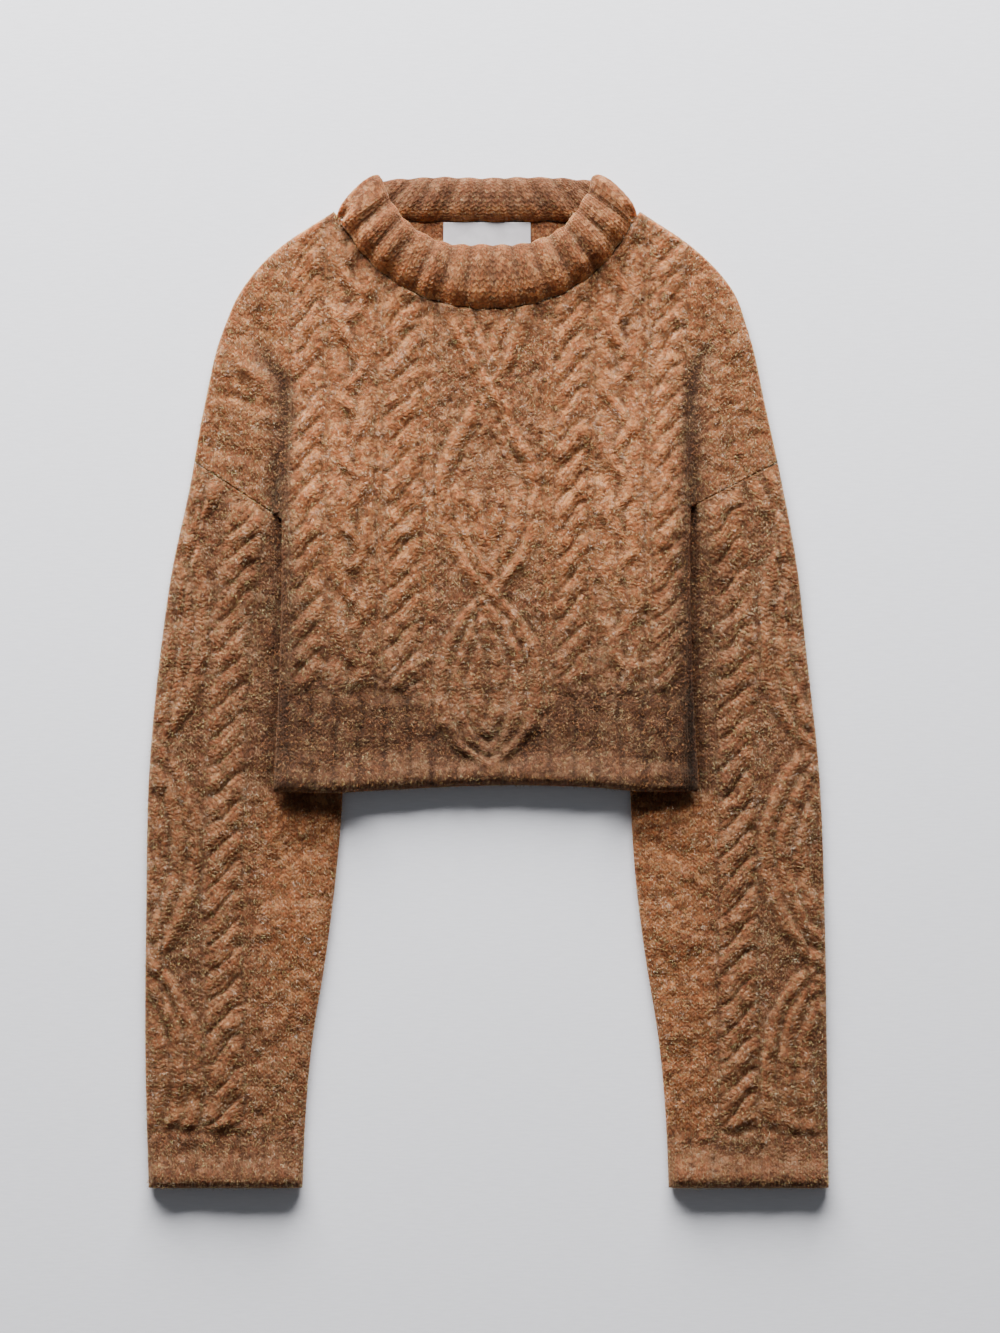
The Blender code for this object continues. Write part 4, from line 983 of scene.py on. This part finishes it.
def feed(node, inputs):
    """A node's inputs, as numbers and colours or as sockets to link from."""
    for key, value in inputs.items():
        if isinstance(value, bpy.types.NodeSocket):
            node.id_data.links.new(value, node.inputs[key])
        else:
            node.inputs[key].default_value = value


def place(tree, kind, inputs=None, **options):
    """A shader node with its options and its inputs."""
    made = tree.nodes.new("ShaderNode" + kind)
    for name, value in options.items():
        setattr(made, name, value)
    feed(made, inputs or {})
    return made


def maths(tree, operation, *values):
    """Output of a Math node."""
    return place(tree, "Math", dict(enumerate(values)), operation=operation).outputs[0]


def ramp(tree, value, low, high, out_low=0.0, out_high=1.0):
    """A value mapped smoothly from one range to another."""
    inputs = {"Value": value, "From Min": low, "From Max": high, "To Min": out_low, "To Max": out_high}
    made = place(tree, "MapRange", inputs, interpolation_type="SMOOTHSTEP")
    return made.outputs["Result"]


def blend(tree, share, first, second, kind="MIX"):
    """Output of a colour Mix node."""
    inputs = {0: share, 6: first, 7: second}
    made = place(tree, "Mix", inputs, data_type="RGBA", blend_type=kind)
    return made.outputs[2]


def noise(tree, vector, scale, detail):
    """Outputs of a Noise Texture node."""
    return place(tree, "TexNoise", {"Vector": vector, "Scale": scale, "Detail": detail}).outputs


def new_group(name, inputs, output, kind):
    """A node group with named inputs and one output: the tree, its inputs and its end node."""
    tree = bpy.data.node_groups.new(name, "ShaderNodeTree")
    for label, socket_kind, default in inputs:
        socket = tree.interface.new_socket(label, in_out="INPUT", socket_type="NodeSocket" + socket_kind)
        if default is not None:
            socket.default_value = default
    tree.interface.new_socket(output, in_out="OUTPUT", socket_type="NodeSocket" + kind)
    return tree, tree.nodes.new("NodeGroupInput").outputs, tree.nodes.new("NodeGroupOutput")


def stitch_group():
    """Relief of stitches: two legs to a column that bend to a V, and rows of loops."""
    tree, given, end = new_group("Stitch relief", [("Stitch", "Vector", None)], "Height", "Float")
    parts = place(tree, "SeparateXYZ", {0: given["Stitch"]}).outputs
    across = maths(tree, "FRACT", parts[0])
    leg = maths(tree, "MULTIPLY", maths(tree, "ABSOLUTE", maths(tree, "SUBTRACT", across, 0.5)), 2.0)
    twice = maths(tree, "ABSOLUTE", maths(tree, "SINE", maths(tree, "MULTIPLY", across, 2 * math.pi)))
    legs = maths(tree, "POWER", twice, 0.6)
    bent = maths(tree, "FRACT", maths(tree, "SUBTRACT", parts[1], maths(tree, "MULTIPLY", leg, 0.55)))
    loops = maths(tree, "SINE", maths(tree, "MULTIPLY", bent, math.pi))
    total = maths(tree, "ADD", maths(tree, "MULTIPLY", legs, 0.5), maths(tree, "MULTIPLY", loops, 0.5))
    tree.links.new(total, end.inputs[0])
    return tree


def nap_group():
    """Relief of loose fibres: two sizes of noise."""
    tree, given, end = new_group("Wool nap", [("Vector", "Vector", None)], "Height", "Float")
    coarse = noise(tree, given["Vector"], 420.0, 4.0)[0]
    fine = noise(tree, given["Vector"], 1300.0, 2.0)[0]
    total = maths(tree, "ADD", coarse, maths(tree, "MULTIPLY", fine, 0.5))
    tree.links.new(total, end.inputs[0])
    return tree


def heather_and_shade_group():
    """Colour of heathered wool: dark and light flecks of fibre, with painted shade between strands and
    stitches, and the painted shade and light that the Shade input carries.
    """
    inputs = [
        ("Vector", "Vector", None), ("Shade", "Vector", None), ("Stitch Height", "Float", 0.5),
        ("Dark", "Color", None), ("Main", "Color", None), ("Light", "Color", None), ("Valley Shade", "Float", 0.4),
    ]
    tree, given, end = new_group("Heathered wool and painted shade", inputs, "Color", "Color")
    shade = place(tree, "SeparateXYZ", {0: given["Shade"]}).outputs
    bent = noise(tree, given["Vector"], 300.0, 2.0)["Color"]
    moved = place(tree, "VectorMath", {0: bent, 3: 0.004}, operation="SCALE").outputs[0]
    spot = place(tree, "VectorMath", {0: given["Vector"], 1: moved}, operation="ADD")
    cells = place(tree, "TexVoronoi", {"Vector": spot.outputs[0], "Scale": 290.0})
    chance = place(tree, "SeparateColor", {0: cells.outputs["Color"]}).outputs
    fibres = noise(tree, given["Vector"], 420.0, 4.0)[0]
    cloud = noise(tree, given["Vector"], 75.0, 3.0)[0]
    dark, light = ramp(tree, chance[0], 0.34, 0.14), ramp(tree, chance[1], 0.66, 0.90)
    colour = blend(tree, ramp(tree, fibres, 0.38, 0.66), given["Dark"], given["Main"])
    colour = blend(tree, 0.55, given["Main"], colour)
    colour = blend(tree, maths(tree, "MULTIPLY", dark, 0.52), colour, given["Dark"])
    colour = blend(tree, maths(tree, "MULTIPLY", light, 0.42), colour, given["Light"])
    colour = blend(tree, ramp(tree, cloud, 0.45, 0.75, 0.0, 0.25), colour, given["Light"])
    # Painted shade: darker where the wool is less open to light and between stitches, scaled by the painted
    # shading in the Shade input.
    valley = ramp(tree, shade[0], 0.0, 0.8, given["Valley Shade"], 1.0)
    between = ramp(tree, given["Stitch Height"], 0.1, 0.7, 0.72, 1.06)
    total = maths(tree, "MULTIPLY", maths(tree, "MULTIPLY", valley, between), shade[1])
    # Where the painted shade is deepest, the colour is also cooled towards blue.
    deep = ramp(tree, total, 0.95, 0.45)
    colour = blend(tree, deep, colour, blend(tree, 1.0, colour, (0.98, 1.02, 1.20, 1), "MULTIPLY"))
    made = place(tree, "VectorMath", {0: colour, 3: total}, operation="SCALE")
    tree.links.new(made.outputs[0], end.inputs[0])
    return tree


def new_material(name):
    """A material with nodes: its tree and its Principled shader."""
    material = bpy.data.materials.new(name)
    material.use_nodes = True
    return material, material.node_tree, material.node_tree.nodes["Principled BSDF"]


def wool(settings):
    """The sweater's yarn: heathered colour with painted shade, stitches and nap as bump, and a soft sheen.
    """
    found = bpy.data.materials.get("wool")
    if found:
        return found
    stitches, heather_and_shade, nap = stitch_group(), heather_and_shade_group(), nap_group()
    for name in ("wool", "fibre"):
        _, tree, shader = new_material(name)
        spot = place(tree, "TexCoord").outputs["Object"]
        shade = place(tree, "Attribute", attribute_name="shade").outputs["Vector"]
        stitch = place(tree, "Attribute", attribute_name="stitch").outputs["Vector"]
        relief = place(tree, "Group", {"Stitch": stitch}, node_tree=stitches)
        flecked_and_shaded = place(tree, "Group", {
            "Vector": spot, "Shade": shade, "Stitch Height": relief.outputs[0], "Valley Shade": settings.valley,
            "Dark": (*settings.dark, 1), "Main": (*settings.main, 1), "Light": (*settings.light, 1),
        }, node_tree=heather_and_shade)
        feed(shader, {
            "Base Color": flecked_and_shaded.outputs[0], "Roughness": 0.88, "Specular IOR Level": 0.15,
            "Subsurface Weight": 0.85, "Subsurface Radius": (1.0, 0.55, 0.35), "Subsurface Scale": 0.006,
            "Sheen Weight": settings.sheen, "Sheen Roughness": 0.55, "Sheen Tint": (1.0, 0.62, 0.36, 1),
        })
        if name == "wool":
            fibres = place(tree, "Group", {"Vector": spot}, node_tree=nap)
            total = maths(tree, "ADD", relief.outputs[0], maths(tree, "MULTIPLY", fibres.outputs[0], 0.9))
            bump = place(tree, "Bump", {"Height": total, "Strength": 0.65, "Distance": 0.0011})
            feed(shader, {"Normal": bump.outputs[0]})
    return bpy.data.materials["wool"]


def satin(settings):
    """The label's white satin, coloured grey, partly as painted shade where it lies in the neck and partly
    for its lettering, which is not drawn: fine threads across and slow changes of gloss.
    """
    found = bpy.data.materials.get("satin")
    if found:
        return found
    material, tree, shader = new_material("satin")
    spot = place(tree, "TexCoord").outputs["Object"]
    waves = {"Vector": spot, "Scale": 420.0, "Distortion": 0.6}
    threads = place(tree, "TexWave", waves, bands_direction="Y")
    cloud = noise(tree, spot, 90.0, 3.0)[0]
    low, high = (*[0.86 * c for c in settings.label], 1), (*settings.label, 1)
    colour = blend(tree, ramp(tree, cloud, 0.35, 0.65), low, high)
    colour = blend(tree, maths(tree, "MULTIPLY", threads.outputs[1], 0.25), colour, low)
    bump = place(tree, "Bump", {"Height": threads.outputs[1], "Strength": 0.4, "Distance": 0.0002})
    gloss = ramp(tree, cloud, 0.3, 0.7, 0.38, 0.55)
    feed(shader, {"Base Color": colour, "Roughness": gloss, "Normal": bump.outputs[0]})
    return material


def paper(settings):
    """The surface below: pale matt cloth with faint threads."""
    material, tree, shader = new_material("pale_cloth")
    spot = place(tree, "TexCoord").outputs["Object"]
    stretched = place(tree, "Mapping", {"Vector": spot, "Scale": (30.0, 260.0, 1.0)})
    threads = noise(tree, stretched.outputs[0], 3.0, 4.0)[0]
    high = (*settings.floor, 1)
    low = (*[0.955 * c for c in settings.floor], 1)
    colour = blend(tree, ramp(tree, threads, 0.3, 0.7), low, high)
    feed(shader, {"Base Color": colour, "Roughness": 0.95, "Specular IOR Level": 0.1})
    return material


# --- Stage ---

def make_stage(settings):
    """A pale floor, a soft light from beyond the neck, soft light all round, and the camera above."""
    mesh = bpy.data.meshes.new("floor")
    corners = [(-1, -1), (1, -1), (1, 1), (-1, 1)]
    floor_at = [(x * FLOOR_HALF, y * FLOOR_HALF, FLOOR_HEIGHT) for x, y in corners]
    mesh.from_pydata(floor_at, [], [(0, 1, 2, 3)])
    mesh.materials.append(paper(settings))
    floor = add_object("floor", mesh)

    key = bpy.data.lights.new("key", "AREA")
    key.shape, key.size, key.size_y = "RECTANGLE", settings.light_size, settings.light_height
    key.energy = settings.light_power
    key.color = (1.0, 0.99, 0.985)
    lamp = add_object("key", key)
    up = math.radians(settings.light_angle)
    lamp.location = (LIGHT_ASIDE, LIGHT_AWAY * math.cos(up), LIGHT_AWAY * math.sin(up))
    lamp.rotation_euler = (-lamp.location).to_track_quat("-Z", "Y").to_euler()

    world = bpy.data.worlds.new("soft_light")
    world.use_nodes = True
    light_all_round = {"Color": (0.93, 0.96, 1.0, 1), "Strength": settings.fill}
    feed(world.node_tree.nodes["Background"], light_all_round)
    bpy.context.scene.world = world

    camera = bpy.data.cameras.new("camera")
    camera.lens, camera.sensor_width = 120, 36
    camera.clip_start, camera.clip_end = 0.05, 50
    eye = add_object("camera", camera)
    eye.location = (*VIEW_CENTRE, VIEW_SPAN * camera.lens / camera.sensor_width)
    bpy.context.scene.camera = eye


# --- Add-on ---

def metres(name, about, default):
    """A setting in metres."""
    return FloatProperty(name=name, description=about, default=default, subtype="DISTANCE", unit="LENGTH")


def tint(name, about, default):
    """A setting that is a colour."""
    return FloatVectorProperty(name=name, description=about, default=default, subtype="COLOR", min=0, max=1)


def factor(name, about, default):
    """A setting from 0 to 1."""
    return FloatProperty(name=name, description=about, default=default, subtype="FACTOR", min=0, max=1)


def strength(name, about, default):
    """A setting of the light, from 0 up."""
    return FloatProperty(name=name, description=about, default=default, min=0)


class SweaterSettings(bpy.types.PropertyGroup):
    """Sizes, colours and light of the sweater."""

    relief: metres("Cable relief", "How far a cable stands out", 3.2 * MM)
    fibres: IntProperty(name="Fibres", description="Loose fibres on the front", default=42000, min=0)
    fibre_length: metres("Fibre length", "Usual length of a loose fibre", 3.4 * MM)
    fibre_width: metres("Fibre width", "Thickness of a loose fibre", 0.22 * MM)
    main: tint("Main colour", "Usual colour of the wool", (0.272, 0.0945, 0.0325))
    dark: tint("Dark flecks", "Darkest fibres", (0.080, 0.027, 0.011))
    light: tint("Light flecks", "Lightest fibres", (0.52, 0.25, 0.10))
    # Painted shade: how light the wool is kept between the cables.
    valley: factor("Valley Shade", "Lightness of the wool between the cables", 0.58)
    sheen: factor("Sheen", "Soft sheen of the wool", 0.14)
    # The label's grey is partly painted shade in the neck and partly stands for its lettering, which is not
    # drawn.
    label: tint("Label colour", "Colour of the bare label", (0.44, 0.42, 0.44))
    floor: tint("Floor colour", "Colour of the surface below", (0.81, 0.815, 0.86))
    light_power: strength("Light", "Power of the main light in watts", 385.0)
    light_size: metres("Light size", "Width of the main light", 2.6)
    light_height: metres("Light height", "Height of the main light's face", 1.5)
    light_angle: FloatProperty(
        name="Light angle", description="Height of the main light in degrees", default=26.0, min=5, max=90,
    )
    fill: strength("Fill", "Strength of the light all round", 0.13)


class SWEATER_OT_front(bpy.types.Operator):
    """Make the cabled front"""

    bl_idname = "sweater.front"
    bl_label = "Front"

    def execute(self, context):
        make_front(context.scene.sweater)
        return {"FINISHED"}


class SWEATER_OT_back(bpy.types.Operator):
    """Make the plain back"""

    bl_idname = "sweater.back"
    bl_label = "Back"

    def execute(self, context):
        make_back(context.scene.sweater)
        return {"FINISHED"}


class SWEATER_OT_sleeves(bpy.types.Operator):
    """Make both cabled sleeves"""

    bl_idname = "sweater.sleeves"
    bl_label = "Sleeves"

    def execute(self, context):
        for side in ("left", "right"):
            make_sleeve(side, context.scene.sweater)
        return {"FINISHED"}


class SWEATER_OT_neckband(bpy.types.Operator):
    """Make the ribbed neckband"""

    bl_idname = "sweater.neckband"
    bl_label = "Neckband"

    def execute(self, context):
        make_neckband(context.scene.sweater)
        return {"FINISHED"}


class SWEATER_OT_label(bpy.types.Operator):
    """Make the bare label in the neck"""

    bl_idname = "sweater.label"
    bl_label = "Label"

    def execute(self, context):
        make_label(context.scene.sweater)
        return {"FINISHED"}


class SWEATER_OT_stage(bpy.types.Operator):
    """Make the floor, the light and the camera"""

    bl_idname = "sweater.stage"
    bl_label = "Stage"

    def execute(self, context):
        make_stage(context.scene.sweater)
        return {"FINISHED"}


class SWEATER_PT_panel(bpy.types.Panel):
    """Lists the sweater's settings and pieces"""

    bl_label = "Cable-knit sweater"
    bl_space_type = "VIEW_3D"
    bl_region_type = "UI"
    bl_category = "Sweater"

    def draw(self, context):
        for name in SweaterSettings.__annotations__:
            self.layout.prop(context.scene.sweater, name)
        for kind in OPERATORS:
            self.layout.operator(kind.bl_idname)


OPERATORS = [
    SWEATER_OT_stage, SWEATER_OT_back, SWEATER_OT_sleeves, SWEATER_OT_front, SWEATER_OT_neckband,
    SWEATER_OT_label,
]
CLASSES = [SweaterSettings, *OPERATORS, SWEATER_PT_panel]


def register():
    for kind in CLASSES:
        bpy.utils.register_class(kind)
    bpy.types.Scene.sweater = PointerProperty(type=SweaterSettings)


def unregister():
    del bpy.types.Scene.sweater
    for kind in reversed(CLASSES):
        bpy.utils.unregister_class(kind)


def main():
    """Makes every piece."""
    register()
    bpy.ops.sweater.stage()
    bpy.ops.sweater.back()
    bpy.ops.sweater.sleeves()
    bpy.ops.sweater.front()
    bpy.ops.sweater.neckband()
    bpy.ops.sweater.label()
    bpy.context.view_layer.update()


if __name__ == "__main__":
    main()
